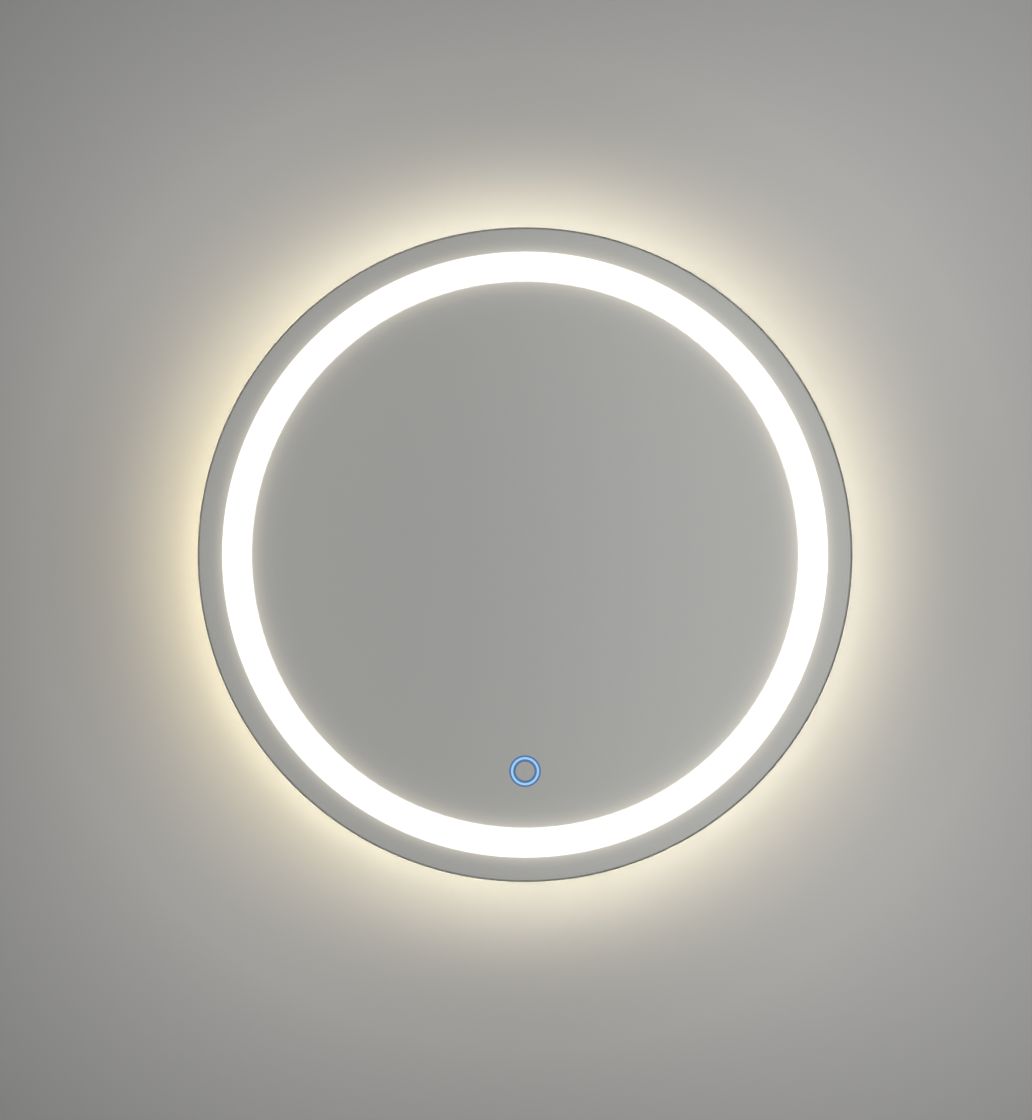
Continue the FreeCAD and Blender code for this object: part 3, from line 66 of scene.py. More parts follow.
class Kit:
    """A material's node tree, built from short calls. Any argument may be a number or a socket."""

    def __init__(self, name="", tree=None):
        if tree is None:
            self.material = bpy.data.materials.new(name)
            self.material.use_nodes = True
            tree = self.material.node_tree
        self.tree = tree
        tree.nodes.clear()

    def set(self, socket, value):
        if isinstance(value, bpy.types.NodeSocket):
            self.tree.links.new(value, socket)
        elif value is not None:
            if isinstance(value, (tuple, list)) and len(value) == 3 and socket.type == "RGBA":
                value = (*value, 1.0)
            socket.default_value = value

    def node(self, kind, inputs=(), **settings):
        made = self.tree.nodes.new("ShaderNode" + kind)
        for name, value in settings.items():
            setattr(made, name, value)
        for key, value in dict(inputs).items():
            self.set(made.inputs[key], value)
        return made

    def math(self, operation, a, b=None):
        return self.node("Math", {0: a, 1: b}, operation=operation).outputs[0]

    def add(self, a, b):
        return self.math("ADD", a, b)

    def times(self, a, b):
        return self.math("MULTIPLY", a, b)

    def between(self, value, low, high, soft=1e-6):
        """1 where value lies from low to high, with soft edges, else 0."""
        rise = self.remap(value, low - soft, low + soft, 0, 1)
        fall = self.remap(value, high - soft, high + soft, 1, 0)
        return self.times(rise, fall)

    def remap(self, value, from_min, from_max, to_min=0.0, to_max=1.0, smooth=False):
        made = self.node("MapRange", {"Value": value, "From Min": from_min, "From Max": from_max,
                                      "To Min": to_min, "To Max": to_max})
        if smooth:
            made.interpolation_type = "SMOOTHSTEP"
        return made.outputs[0]

    def spread(self, noise, low, high):
        """A noise texture's usual values, spread from low to high."""
        return self.remap(noise, NOISE_LOW, NOISE_HIGH, low, high)

    def mix(self, factor, a, b):
        made = self.node("Mix", data_type="RGBA")
        for index, value in ((0, factor), (6, a), (7, b)):
            self.set(made.inputs[index], value)
        return made.outputs[2]

    def ramp(self, value, stops, ease="LINEAR"):
        """A colour ramp. Each stop is (place, colour), or (place, grey)."""
        made = self.node("ValToRGB", {"Fac": value})
        made.color_ramp.interpolation = ease
        points = made.color_ramp.elements
        while len(points) < len(stops):
            points.new(0.5)
        for point, (place, colour) in zip(points, stops):
            point.position = place
            if isinstance(colour, (int, float)):
                colour = (colour,) * 3
            point.color = (*colour, 1.0)
        return made.outputs[0]

    def object_point(self):
        return self.node("TexCoord").outputs["Object"]

    def xyz(self, vector):
        made = self.node("SeparateXYZ", {"Vector": vector})
        return made.outputs[0], made.outputs[1], made.outputs[2]

    def vector(self, x, y, z):
        return self.node("CombineXYZ", {"X": x, "Y": y, "Z": z}).outputs[0]

    def scaled(self, vector, factors):
        return self.node("VectorMath", {0: vector, 1: factors}, operation="MULTIPLY").outputs[0]

    def noise(self, vector, scale, detail=3.0, roughness=0.55, distortion=0.0):
        inputs = {"Vector": vector, "Scale": scale, "Detail": detail, "Roughness": roughness,
                  "Distortion": distortion}
        return self.node("TexNoise", inputs).outputs["Fac"]

    def cells(self, vector, scale, feature="F1", output="Distance"):
        made = self.node("TexVoronoi", {"Vector": vector, "Scale": scale}, feature=feature)
        return made.outputs[output]

    def radius(self, z_centre=CENTRE_Z):
        """Distance from an axis along Y at the given height."""
        x, _, z = self.xyz(self.object_point())
        up = self.math("SUBTRACT", z, z_centre)
        return self.math("SQRT", self.add(self.times(x, x), self.times(up, up)))

    def polar(self):
        """Around, depth and radius about the mirror's axis, each in metres."""
        x, y, z = self.xyz(self.object_point())
        up = self.math("SUBTRACT", z, CENTRE_Z)
        around = self.times(self.math("ARCTAN2", x, up), GLASS_R)
        return self.vector(around, y, self.radius())

    def bump(self, height, distance, strength):
        made = self.node("Bump", {"Height": height, "Distance": distance, "Strength": strength})
        return made.outputs[0]

    def surface(self, **inputs):
        """A Principled surface. Names are written with _ for a space."""
        sockets = {name.replace("_", " "): value for name, value in inputs.items()}
        shader = self.node("BsdfPrincipled", sockets)
        self.finish(shader.outputs[0])
        return self.material

    def finish(self, shader):
        out = self.node("OutputMaterial")
        self.tree.links.new(shader, out.inputs["Surface"])
        return self.material


def shade(colour, factor):
    return tuple(part * factor for part in colour)


# ---- glass, silver and light ------------------------------------------------------------------

SILVER = (0.94, 0.935, 0.925)
# The colour of the glow painted on the silver beside the lit band.
PAINTED_GLOW_COLOUR = (1.0, 0.87, 0.66)
# Glow painted on the silver beside the lit band: how strong beside it and further off, and how far it
# reaches.
PAINTED_GLOW_NEAR, PAINTED_GLOW_FAR = 0.25, 0.012
PAINTED_GLOW_INSIDE, PAINTED_GLOW_OUTSIDE, PAINTED_GLOW_REACH = 0.0070, 0.0050, 0.080
# From this radius to its edge the glass's rim is dark, and the bare rim inside it has a painted glow.
DARK_EDGE_FROM, PAINTED_RIM_GLOW = 0.2991, 0.15
# The lit band is shaded this far in from its inner and outer edge.
SHADE_INSIDE, SHADE_OUTSIDE = 0.0022, 0.0016
# The brightest part of the touch ring, in the glass and in the light guide.
RING_LIT_INNER, RING_LIT_OUTER = 0.0109, 0.0129
GUIDE_LIT_INNER, GUIDE_LIT_OUTER = 0.0104, 0.0127
# The silver is blue this far into the touch ring and out of it.
OUTLINE_IN, OUTLINE_OUT = 0.001, 0.0006
# A point this near a face of the glass is on that face.
SKIN = 0.0001


def painted_band_glow(kit):
    """Glow painted on the silver on both sides of the lit band, in place of light straying out of it
    into the glass.
    """
    r = kit.radius()
    inside = kit.math("MAXIMUM", kit.math("SUBTRACT", BAND_INNER, r), 0.0)
    outside = kit.math("MAXIMUM", kit.math("SUBTRACT", r, BAND_OUTER), 0.0)
    reach = kit.add(kit.times(inside, 1 / PAINTED_GLOW_INSIDE), kit.times(outside, 1 / PAINTED_GLOW_OUTSIDE))
    near = kit.math("EXPONENT", kit.times(reach, -1.0))
    far = kit.math("EXPONENT", kit.times(kit.add(inside, outside), -1 / PAINTED_GLOW_REACH))
    return kit.add(kit.times(near, PAINTED_GLOW_NEAR), kit.times(far, PAINTED_GLOW_FAR))


def clear_glass():
    """Clear float glass, frosted at its back along the lit band and the touch ring. Past the silver
    its back and edge are opaque: bare with a painted glow, and then dark."""
    kit = Kit("clear_glass")
    _, y, _ = kit.xyz(kit.object_point())
    r = kit.radius()
    ring_r = kit.radius(SWITCH_Z)
    at_back = kit.math("GREATER_THAN", y, GLASS_REAR - 5 * SKIN)
    band = kit.times(at_back, kit.between(r, BAND_INNER, BAND_OUTER))
    ring = kit.times(at_back, kit.between(ring_r, RING_INNER, RING_OUTER))
    grain = kit.noise(kit.object_point(), 9000, 2)
    frost = kit.times(kit.math("MAXIMUM", band, ring), kit.spread(grain, 0.55, 0.7))
    shaded = kit.add(kit.remap(r, BAND_INNER, BAND_INNER + SHADE_INSIDE, 0.45, 0),
                     kit.remap(r, BAND_OUTER - SHADE_OUTSIDE, BAND_OUTER, 0, 0.3))
    clear = kit.mix(kit.times(band, shaded), (0.985, 0.99, 0.988), (0, 0, 0))
    off_front = kit.math("GREATER_THAN", y, GLASS_FRONT + SKIN)
    past_silver = kit.times(off_front, kit.math("GREATER_THAN", r, SILVER_EDGE - SKIN))
    edge_grain = kit.noise(kit.polar(), 900, 4)
    dark = kit.mix(edge_grain, (0.045, 0.050, 0.048), (0.085, 0.095, 0.090))
    bare = kit.times(past_silver, kit.remap(r, DARK_EDGE_FROM, DARK_EDGE_FROM + 2 * SKIN, 1, 0))
    tint = kit.mix(past_silver, clear, kit.mix(bare, dark, (0.70, 0.70, 0.685)))
    opaque = kit.math("MAXIMUM", past_silver, ring)
    edge_rough = kit.times(past_silver, kit.spread(edge_grain, 0.22, 0.38))
    core = kit.between(ring_r, RING_LIT_INNER, RING_LIT_OUTER, 0.0002)
    blue = kit.mix(core, (0.075, 0.150, 0.37), (0.31, 0.67, 1.0))
    return kit.surface(
        Base_Color=kit.mix(ring, tint, (0.02, 0.03, 0.06)),
        Roughness=kit.math("MAXIMUM", frost, edge_rough),
        Transmission_Weight=kit.math("SUBTRACT", 1.0, opaque),
        IOR=1.52,
        Emission_Color=kit.mix(ring, (1.0, 0.985, 0.955), blue),
        # The bare rim glows by painted light.
        Emission_Strength=kit.add(kit.times(ring, kit.spread(grain, 0.97, 1.05)),
                                  kit.times(bare, PAINTED_RIM_GLOW)),
    )


def silvering():
    """Mirror towards the glass, grey protective paint towards the wall, and a painted glow on the
    mirror beside the lit band.
    """
    kit = Kit("silvering")
    _, facing, _ = kit.xyz(kit.node("TexCoord").outputs["Normal"])
    front = kit.math("LESS_THAN", facing, -0.5)
    point = kit.object_point()
    sprayed = kit.noise(point, 420, 4)
    patches = kit.noise(point, 9, 3)
    ring_r = kit.radius(SWITCH_Z)
    outline = kit.math("MAXIMUM",
                       kit.between(ring_r, RING_OUTER - OUTLINE_IN, RING_OUTER + OUTLINE_OUT),
                       kit.between(ring_r, RING_INNER - OUTLINE_OUT, RING_INNER + OUTLINE_IN))
    silver = kit.mix(outline, SILVER, (0.26, 0.42, 0.90))
    paint = kit.mix(kit.remap(patches, 0.35, 0.65), (0.115, 0.150, 0.165), (0.135, 0.170, 0.185))
    rough = kit.spread(sprayed, 0.42, 0.58)
    back = kit.math("SUBTRACT", 1.0, front)
    return kit.surface(
        Base_Color=kit.mix(front, paint, silver),
        Metallic=front,
        Roughness=kit.times(rough, back),
        Normal=kit.bump(kit.times(sprayed, back), 0.0001, 0.35),
        Emission_Color=PAINTED_GLOW_COLOUR,
        # The mirror glows by painted light beside the lit band.
        Emission_Strength=kit.times(front, painted_band_glow(kit)),
    )


# Spacing of the film's threads.
FILM_WEAVE = 0.0014


def white_film():
    """Woven-backed white film, smoothed on by hand, with faint creases and bubbles."""
    kit = Kit("white_film")
    point = kit.object_point()
    x, _, z = kit.xyz(point)
    threads = 2 * math.pi / FILM_WEAVE
    warp = kit.math("SINE", kit.times(kit.add(x, z), threads))
    weft = kit.math("SINE", kit.times(kit.math("SUBTRACT", x, z), threads))
    weave = kit.times(kit.add(warp, weft), 0.25)
    swipes = kit.noise(kit.scaled(point, (1.0, 1.0, 0.12)), 55, 3)
    folds = kit.noise(kit.scaled(point, (1.0, 1.0, 0.3)), 9, 2, 0.5, 1.2)
    ridge = kit.math("ABSOLUTE", kit.math("SUBTRACT", folds, 0.5))
    crease = kit.remap(ridge, 0.0, 0.016, 1.0, 0.0, smooth=True)
    bubbles = kit.remap(kit.cells(point, 130), 0.02, 0.16, 1.0, 0.0, smooth=True)
    kept = kit.math("GREATER_THAN", kit.noise(point, 26, 1), 0.62)
    height = kit.add(kit.times(weave, 0.2), kit.times(swipes, 0.8))
    height = kit.add(height, kit.add(kit.times(kit.times(bubbles, kept), 0.7), kit.times(crease, 0.6)))
    tint = kit.mix(kit.noise(point, 14, 3), (0.77, 0.785, 0.79), (0.84, 0.85, 0.85))
    tint = kit.mix(kit.times(kit.remap(weave, -0.5, 0.5), 0.25), tint, (0.62, 0.64, 0.66))
    return kit.surface(Base_Color=tint, Roughness=kit.spread(swipes, 0.36, 0.5),
                       Normal=kit.bump(height, 0.0005, 0.6))


# Strength of the two diffusers' own light.
FRONT_LIGHT, SIDE_LIGHT = 1.32, 0.85


def opal_acrylic():
    """Front diffuser, lit evenly but for a faint haze."""
    kit = Kit("opal_acrylic")
    haze = kit.noise(kit.object_point(), 300, 3)
    return kit.surface(Base_Color=(0.85, 0.84, 0.81), Roughness=kit.spread(haze, 0.3, 0.4),
                       Emission_Color=(1.0, 0.985, 0.955),
                       Emission_Strength=kit.times(kit.spread(haze, 0.97, 1.03), FRONT_LIGHT))


def opal_silicone():
    """Side diffuser, brightest along its middle, where the LEDs shine through."""
    kit = Kit("opal_silicone")
    _, y, _ = kit.xyz(kit.object_point())
    haze = kit.noise(kit.polar(), 260, 3)
    edge, flank, middle = (0.62, 0.46, 0.26), (0.86, 0.74, 0.52), (1.0, 0.94, 0.78)
    profile = kit.ramp(kit.remap(y, SIDE_FRONT, SIDE_REAR),
                       [(0.0, edge), (0.22, flank), (0.5, middle), (0.78, flank), (1.0, edge)], "EASE")
    strength = kit.times(kit.spread(haze, 0.96, 1.04), SIDE_LIGHT)
    return kit.surface(Base_Color=(0.34, 0.325, 0.29), Roughness=kit.spread(haze, 0.38, 0.5),
                       Emission_Color=profile, Emission_Strength=strength)


def blue_guide():
    """Light guide of the touch ring, bright along its middle."""
    kit = Kit("blue_guide")
    ring_r = kit.radius(SWITCH_Z)
    core = kit.between(ring_r, GUIDE_LIT_INNER, GUIDE_LIT_OUTER, 0.0003)
    colour = kit.mix(core, (0.11, 0.19, 0.42), (0.30, 0.66, 0.97))
    haze = kit.noise(kit.object_point(), 900, 2)
    return kit.surface(Base_Color=(0.30, 0.45, 0.62), Roughness=kit.spread(haze, 0.15, 0.25),
                       Emission_Color=colour, Emission_Strength=kit.spread(haze, 1.0, 1.1))


def led_package(name, phosphor, strength):
    """An LED's phosphor, faintly speckled."""
    kit = Kit(name)
    spots = kit.noise(kit.object_point(), 5000, 3)
    return kit.surface(Base_Color=kit.mix(spots, phosphor, shade(phosphor, 0.88)),
                       Roughness=kit.spread(spots, 0.22, 0.35),
                       Emission_Color=phosphor, Emission_Strength=strength)


# ---- metals -----------------------------------------------------------------------------------

def anodised_aluminium():
    """Extruded and rolled: fine lines run round the ring, with the satin of an etched surface."""
    kit = Kit("anodised_aluminium")
    around = kit.polar()
    lines = kit.noise(kit.scaled(around, (2.0, 1400.0, 1400.0)), 1.0, 4)
    satin = kit.noise(kit.object_point(), 2600, 3)
    handling = kit.noise(kit.scaled(around, (14, 40, 40)), 1.0, 4, 0.65)
    tint = kit.mix(kit.remap(handling, 0.35, 0.7), (0.66, 0.67, 0.68), (0.57, 0.58, 0.59))
    tint = kit.mix(kit.times(lines, 0.35), tint, (0.50, 0.51, 0.52))
    rough = kit.add(kit.spread(lines, 0.26, 0.38), kit.remap(handling, 0.4, 0.75, 0.0, 0.10))
    height = kit.add(kit.times(lines, 0.7), kit.times(satin, 0.3))
    return kit.surface(Base_Color=tint, Metallic=1.0, Roughness=rough,
                       Normal=kit.bump(height, 0.00004, 0.5))


def zinc_steel(name, tone):
    """Zinc-coated sheet, with soft spangle, rolling lines along X and a few scuffs."""
    kit = Kit(name)
    point = kit.object_point()
    spangle = kit.cells(kit.scaled(point, (1.0, 0.4, 1.0)), 190, output="Color")
    grey, _, _ = kit.xyz(spangle)
    rolled = kit.noise(kit.scaled(point, (3.0, 900.0, 900.0)), 1.0, 4)
    scuffs = kit.noise(kit.scaled(point, (40.0, 160.0, 260.0)), 1.0, 5, 0.7, 0.6)
    scratch = kit.remap(scuffs, 0.60, 0.68)
    tint = kit.mix(grey, shade(tone, 0.90), tone)
    tint = kit.mix(kit.times(rolled, 0.3), tint, shade(tone, 0.72))
    tint = kit.mix(kit.times(scratch, 0.35), tint, shade(tone, 1.15))
    rough = kit.add(kit.remap(grey, 0, 1, 0.34, 0.40), kit.spread(rolled, -0.03, 0.05))
    height = kit.add(kit.times(rolled, 0.6), kit.times(scratch, -0.4))
    return kit.surface(Base_Color=tint, Metallic=1.0, Roughness=rough,
                       Normal=kit.bump(height, 0.00005, 0.5))


def plated(name, colour, rough, dark=0.75):
    """A small turned or pressed metal piece, brightly plated and a little worn."""
    kit = Kit(name)
    point = kit.object_point()
    film = kit.noise(point, 240, 3)
    fine = kit.noise(point, 3800, 4)
    tint = kit.mix(kit.remap(film, 0.35, 0.7), colour, shade(colour, dark))
    return kit.surface(Base_Color=tint, Metallic=1.0,
                       Roughness=kit.spread(fine, rough - 0.05, rough + 0.08),
                       Normal=kit.bump(fine, 0.00003, 0.4))


def extruded_metal(name, colour, rough):
    """Extruded along Y, with fine die lines."""
    kit = Kit(name)
    lines = kit.noise(kit.scaled(kit.object_point(), (2600.0, 5.0, 2600.0)), 1.0, 3)
    return kit.surface(Base_Color=kit.mix(lines, colour, shade(colour, 0.8)), Metallic=1.0,
                       Roughness=kit.spread(lines, rough - 0.04, rough + 0.08),
                       Normal=kit.bump(lines, 0.00004, 0.5))


# ---- plastics, rubber and the rest ------------------------------------------------------------

def moulded(name, colour, rough, grain=1700.0, depth=0.00009, worn=0.9):
    """Moulded plastic with a spark-eroded texture and faint flow shading."""
    kit = Kit(name)
    point = kit.object_point()
    pits = kit.cells(point, grain, feature="SMOOTH_F1")
    cloud = kit.noise(point, 30, 4)
    dust = kit.noise(point, 600, 4, 0.7)
    tint = kit.mix(kit.remap(cloud, 0.35, 0.65), colour, shade(colour, worn))
    tint = kit.mix(kit.times(kit.remap(dust, 0.58, 0.75), 0.25), tint, shade(colour, 0.82))
    return kit.surface(Base_Color=tint, Roughness=kit.spread(dust, rough - 0.06, rough + 0.06),
                       Normal=kit.bump(pits, depth, 0.6))


def rubber(name, colour, rough=0.62):
    """Matt black rubber with a greyish bloom."""
    kit = Kit(name)
    point = kit.object_point()
    matt = kit.noise(point, 2600, 4, 0.7)
    bloom = kit.noise(point, 60, 4)
    tint = kit.mix(kit.remap(bloom, 0.45, 0.75), colour, tuple(part + 0.035 for part in colour))
    return kit.surface(Base_Color=tint, Roughness=kit.spread(bloom, rough, rough + 0.12),
                       Normal=kit.bump(matt, 0.00008, 0.6))


def foam(name, colour):
    """Closed-cell foam, full of small bubbles, with painted shade in their hollows."""
    kit = Kit(name)
    bubbles = kit.cells(kit.object_point(), 3200, feature="SMOOTH_F1")
    # Painted shade: each bubble is darker towards its middle, where the bump sinks.
    tint = kit.mix(kit.remap(bubbles, 0.1, 0.6), shade(colour, 0.6), colour)
    return kit.surface(Base_Color=tint, Roughness=kit.remap(bubbles, 0.1, 0.6, 0.9, 0.75),
                       Normal=kit.bump(bubbles, 0.0002, 0.9))


def painted(name, colour):
    """Powder paint, with a faint orange peel."""
    kit = Kit(name)
    point = kit.object_point()
    peel = kit.noise(point, 900, 3)
    cloud = kit.noise(point, 25, 3)
    tint = kit.mix(kit.remap(cloud, 0.35, 0.65), colour, shade(colour, 0.95))
    return kit.surface(Base_Color=tint, Roughness=kit.spread(peel, 0.38, 0.5),
                       Normal=kit.bump(peel, 0.00008, 0.4))


# Radians of weave to the metre in a circuit board.
FIBRE_THREADS = 9000.0


def circuit(name, mask, weave_strength=0.25):
    """Glass fibre board: solder mask over woven fibre, with copper tracks just showing."""
    kit = Kit(name)
    point = kit.object_point()
    x, _, z = kit.xyz(point)
    warp = kit.math("SINE", kit.times(x, FIBRE_THREADS))
    weave = kit.times(warp, kit.math("SINE", kit.times(z, FIBRE_THREADS)))
    tracks = kit.cells(kit.scaled(point, (1.0, 0.05, 1.0)), 240, feature="DISTANCE_TO_EDGE")
    track = kit.remap(tracks, 0.06, 0.10, 1.0, 0.0)
    tint = kit.mix(kit.times(track, 0.45), mask, tuple(part * 1.9 for part in mask))
    tint = kit.mix(kit.times(kit.remap(weave, -1, 1), weave_strength), tint, shade(mask, 0.8))
    return kit.surface(Base_Color=tint, Roughness=kit.remap(weave, -1, 1, 0.28, 0.4),
                       Normal=kit.bump(kit.add(track, kit.times(weave, 0.15)), 0.00004, 0.7))


def ferrite():
    kit = Kit("ferrite")
    grains = kit.noise(kit.object_point(), 1800, 4, 0.7)
    return kit.surface(Base_Color=kit.mix(grains, (0.018, 0.018, 0.020), (0.05, 0.05, 0.055)),
                       Roughness=kit.spread(grains, 0.45, 0.7),
                       Normal=kit.bump(grains, 0.0001, 0.7))


def capacitor_sleeve():
    """Shrink-on sleeve, drawn out along Y."""
    kit = Kit("capacitor_sleeve")
    shrink = kit.noise(kit.scaled(kit.object_point(), (400.0, 60.0, 400.0)), 1.0, 3)
    return kit.surface(Base_Color=kit.mix(shrink, (0.012, 0.022, 0.06), (0.02, 0.035, 0.09)),
                       Roughness=kit.spread(shrink, 0.2, 0.34),
                       Normal=kit.bump(shrink, 0.00008, 0.5))


def copper():
    """Enamelled wire, in wavy turns, with painted highlights on the turns' crests and painted shade
    between them.
    """
    kit = Kit("copper")
    turns = kit.math("SINE", kit.times(kit.cells(kit.object_point(), 900), 24.0))
    # Painted highlight and shade: lighter where the turns rise, darker where they sink.
    tint = kit.mix(kit.remap(turns, -1, 1), (0.50, 0.20, 0.09), (0.74, 0.36, 0.18))
    return kit.surface(Base_Color=tint, Metallic=0.9, Roughness=kit.remap(turns, -1, 1, 0.25, 0.4),
                       Normal=kit.bump(turns, 0.0001, 0.5))


def white_sheath():
    """Cable sheath: a soft sheen, a fine grain and a little grime."""
    kit = Kit("white_sheath")
    point = kit.object_point()
    grime = kit.noise(point, 90, 5, 0.65)
    fine = kit.noise(point, 2400, 3)
    tint = kit.mix(kit.remap(grime, 0.45, 0.75), (0.80, 0.80, 0.78), (0.70, 0.69, 0.66))
    return kit.surface(Base_Color=tint, Roughness=kit.spread(grime, 0.36, 0.5),
                       Normal=kit.bump(fine, 0.00004, 0.4))


SLOT_MATERIALS = {
    "clear_glass": clear_glass(),
    "silvering": silvering(),
    "white_film": white_film(),
    "foam_tape": foam("foam_tape", (0.76, 0.76, 0.74)),
    "black_foam": foam("black_foam", (0.035, 0.035, 0.037)),
    "anodised_aluminium": anodised_aluminium(),
    "white_tray": painted("white_tray", (0.83, 0.83, 0.82)),
    "opal_acrylic": opal_acrylic(),
    "opal_silicone": opal_silicone(),
    "strip_board": circuit("strip_board", (0.72, 0.72, 0.70), 0.1),
    "warm_led": led_package("warm_led", (1.0, 0.80, 0.42), 2.0),
    "zinc_steel": zinc_steel("zinc_steel", (0.60, 0.62, 0.63)),
    "zinc_screw": plated("zinc_screw", (0.62, 0.64, 0.66), 0.22),
    "rivet_aluminium": plated("rivet_aluminium", (0.70, 0.71, 0.72), 0.26),
    "bumper_rubber": rubber("bumper_rubber", (0.028, 0.028, 0.029)),
    "box_plastic": moulded("box_plastic", (0.74, 0.74, 0.71), 0.46, worn=0.96),
    "switch_plastic": moulded("switch_plastic", (0.030, 0.030, 0.032), 0.48),
    "circuit_board": circuit("circuit_board", (0.012, 0.085, 0.035)),
    "ferrite": ferrite(),
    "capacitor_sleeve": capacitor_sleeve(),
    "copper": copper(),
    "sink_aluminium": extruded_metal("sink_aluminium", (0.62, 0.63, 0.64), 0.32),
    "terminal_plastic": moulded("terminal_plastic", (0.78, 0.78, 0.74), 0.36, 2600.0, 0.00003),
    "terminal_brass": plated("terminal_brass", (0.72, 0.53, 0.24), 0.25),
    "grommet_rubber": rubber("grommet_rubber", (0.030, 0.030, 0.031), 0.5),
    "white_sheath": white_sheath(),
    "blue_led": led_package("blue_led", (0.30, 0.55, 1.0), 1.2),
    "blue_guide": blue_guide(),
}

for node in NODES.values():
    slot_name = node.data.materials[0].name.split(".")[0]
    node.data.materials[0] = SLOT_MATERIALS[slot_name]

# The two hanging rails get a brighter copy of the zinc, a painted sheen that sets them off from the
# crossbars.
zinc_with_painted_sheen = zinc_steel("zinc_steel_rail_painted_sheen", (0.80, 0.82, 0.84))
for rail in ("wall_rail", "hook_rail"):
    NODES[rail].data.materials[0] = zinc_with_painted_sheen

# Sheared and moulded edges are never quite sharp.
SHEARED_EDGE, MOULDED_EDGE = 0.00025, 0.0004
EASED_EDGES = {
    "wall_rail": SHEARED_EDGE,
    "hook_rail": SHEARED_EDGE,
    "upper_crossbar": SHEARED_EDGE,
    "lower_crossbar": SHEARED_EDGE,
    "driver_cover": MOULDED_EDGE,
    "terminal_box_cover": MOULDED_EDGE,
}
for name, width in EASED_EDGES.items():
    bevel = NODES[name].modifiers.new("edge", "BEVEL")
    bevel.width = width
    bevel.segments = 2
    bevel.limit_method = "ANGLE"
    bevel.angle_limit = math.radians(50)

# The silver lies on the glass. A hair's gap keeps the two faces from flickering.
gap = NODES["silver_coating"].modifiers.new("gap", "DISPLACE")
gap.direction = "Y"
gap.mid_level = 0.0
gap.strength = 0.00002


# ---- fasteners --------------------------------------------------------------------------------

# Fasteners are drawn in millimetres. RIVET_HEAD is the depth of a rivet's dome and of its bulb.
MM = 0.001
RIVET_HEAD = 1.2
# A cross recess has arms of this half width and this reach, as shares of the head's radius.
CROSS_WIDTH, CROSS_LENGTH = 0.15, 0.52
CORNER = math.degrees(math.atan(CROSS_WIDTH / CROSS_LENGTH))
# The turns of a ring's points, which lie closest together at the corners of the cross.
TURNS = [math.radians(arm + part) for arm in (0, 90, 180, 270)
         for part in (-45, -33, -CORNER - 4, -CORNER, 0, CORNER, CORNER + 4, 33)]


def cross_outline(size):
    """Reach of a cross recess at each turn, for a head of the given radius."""
    reaches = []
    for turn in TURNS:
        from_arm = abs((turn + math.pi / 4) % (math.pi / 2) - math.pi / 4)
        flank = CROSS_WIDTH / max(math.sin(from_arm), 1e-6)
        reaches.append(size * min(CROSS_LENGTH / math.cos(from_arm), flank))
    return reaches


def turned(name, node, slot, rings):
    """A piece turned about Y, in place of each solid of a node. Each ring is (radius or outline,
    depth), in millimetres."""
    shape = bmesh.new()
    for x, z in solid_places(node):
        loops = []
        for outline, depth in rings:
            reaches = outline if isinstance(outline, list) else [outline] * len(TURNS)
            points = [(x + reach * math.cos(turn), -depth, z + reach * math.sin(turn))
                      for reach, turn in zip(reaches, TURNS)]
            loops.append([shape.verts.new([MM * part for part in point]) for point in points])
        shape.faces.new(loops[0])
        shape.faces.new(loops[-1])
        for near, far in zip(loops, loops[1:]):
            for index in range(len(TURNS)):
                after = (index + 1) % len(TURNS)
                shape.faces.new((near[index], near[after], far[after], far[index]))
    bmesh.ops.recalc_face_normals(shape, faces=shape.faces)
    mesh = bpy.data.meshes.new(name)
    shape.to_mesh(mesh)
    shape.free()
    mesh.shade_smooth()
    mesh.set_sharp_from_angle(angle=math.radians(38))
    mesh.materials.append(SLOT_MATERIALS[slot])
    piece = bpy.data.objects.new(name, mesh)
    bpy.context.scene.collection.objects.link(piece)
    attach(piece, "mirror")
    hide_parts(node)


def solid_places(node):
    """The axis of each solid in a node of fasteners, as (x, z) in millimetres."""
    shape = bmesh.new()
    shape.from_mesh(NODES[node].data)
    bmesh.ops.remove_doubles(shape, verts=shape.verts, dist=1e-6)
    shape.verts.index_update()
    places, seen = [], set()
    for start in shape.verts:
        if start.index in seen:
            continue
        seen.add(start.index)
        solid = [start]
        for vert in solid:
            beside = [edge.other_vert(vert) for edge in vert.link_edges]
            fresh = [other for other in beside if other.index not in seen]
            seen.update(other.index for other in fresh)
            solid += fresh
        spans = [[vert.co[axis] / MM for vert in solid] for axis in (0, 2)]
        places.append([(min(span) + max(span)) / 2 for span in spans])
    shape.free()
    return places


def depths(node):
    """How far a node's two ends are from the wall, in millimetres, the nearer one first."""
    low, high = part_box(node)
    return -high.y / MM, -low.y / MM


def pan_screws(name, node, radius, height, core):
    """Cross-recessed pan-head screws, heads towards the wall."""
    top, tip = depths(node)
    seat = top + height
    rings = [
        ([reach * 0.55 for reach in cross_outline(radius)], top + 0.62 * height),
        (cross_outline(radius), top + 0.01),
        (0.66 * radius, top + 0.04 * height),
        (0.84 * radius, top + 0.17 * height),
        (0.95 * radius, top + 0.40 * height),
        (radius, top + 0.66 * height),
        (radius, seat - 0.12),
        (0.97 * radius, seat),
        (core, seat + 0.02),
    ]
    pitch = 0.7 * core
    depth = seat + pitch
    while depth < tip - 2 * pitch:
        rings += [(0.76 * core, depth), (core, depth + 0.5 * pitch)]
        depth += pitch
    rings.append((0.25 * core, tip))
    turned(name, node, "zinc_screw", rings)


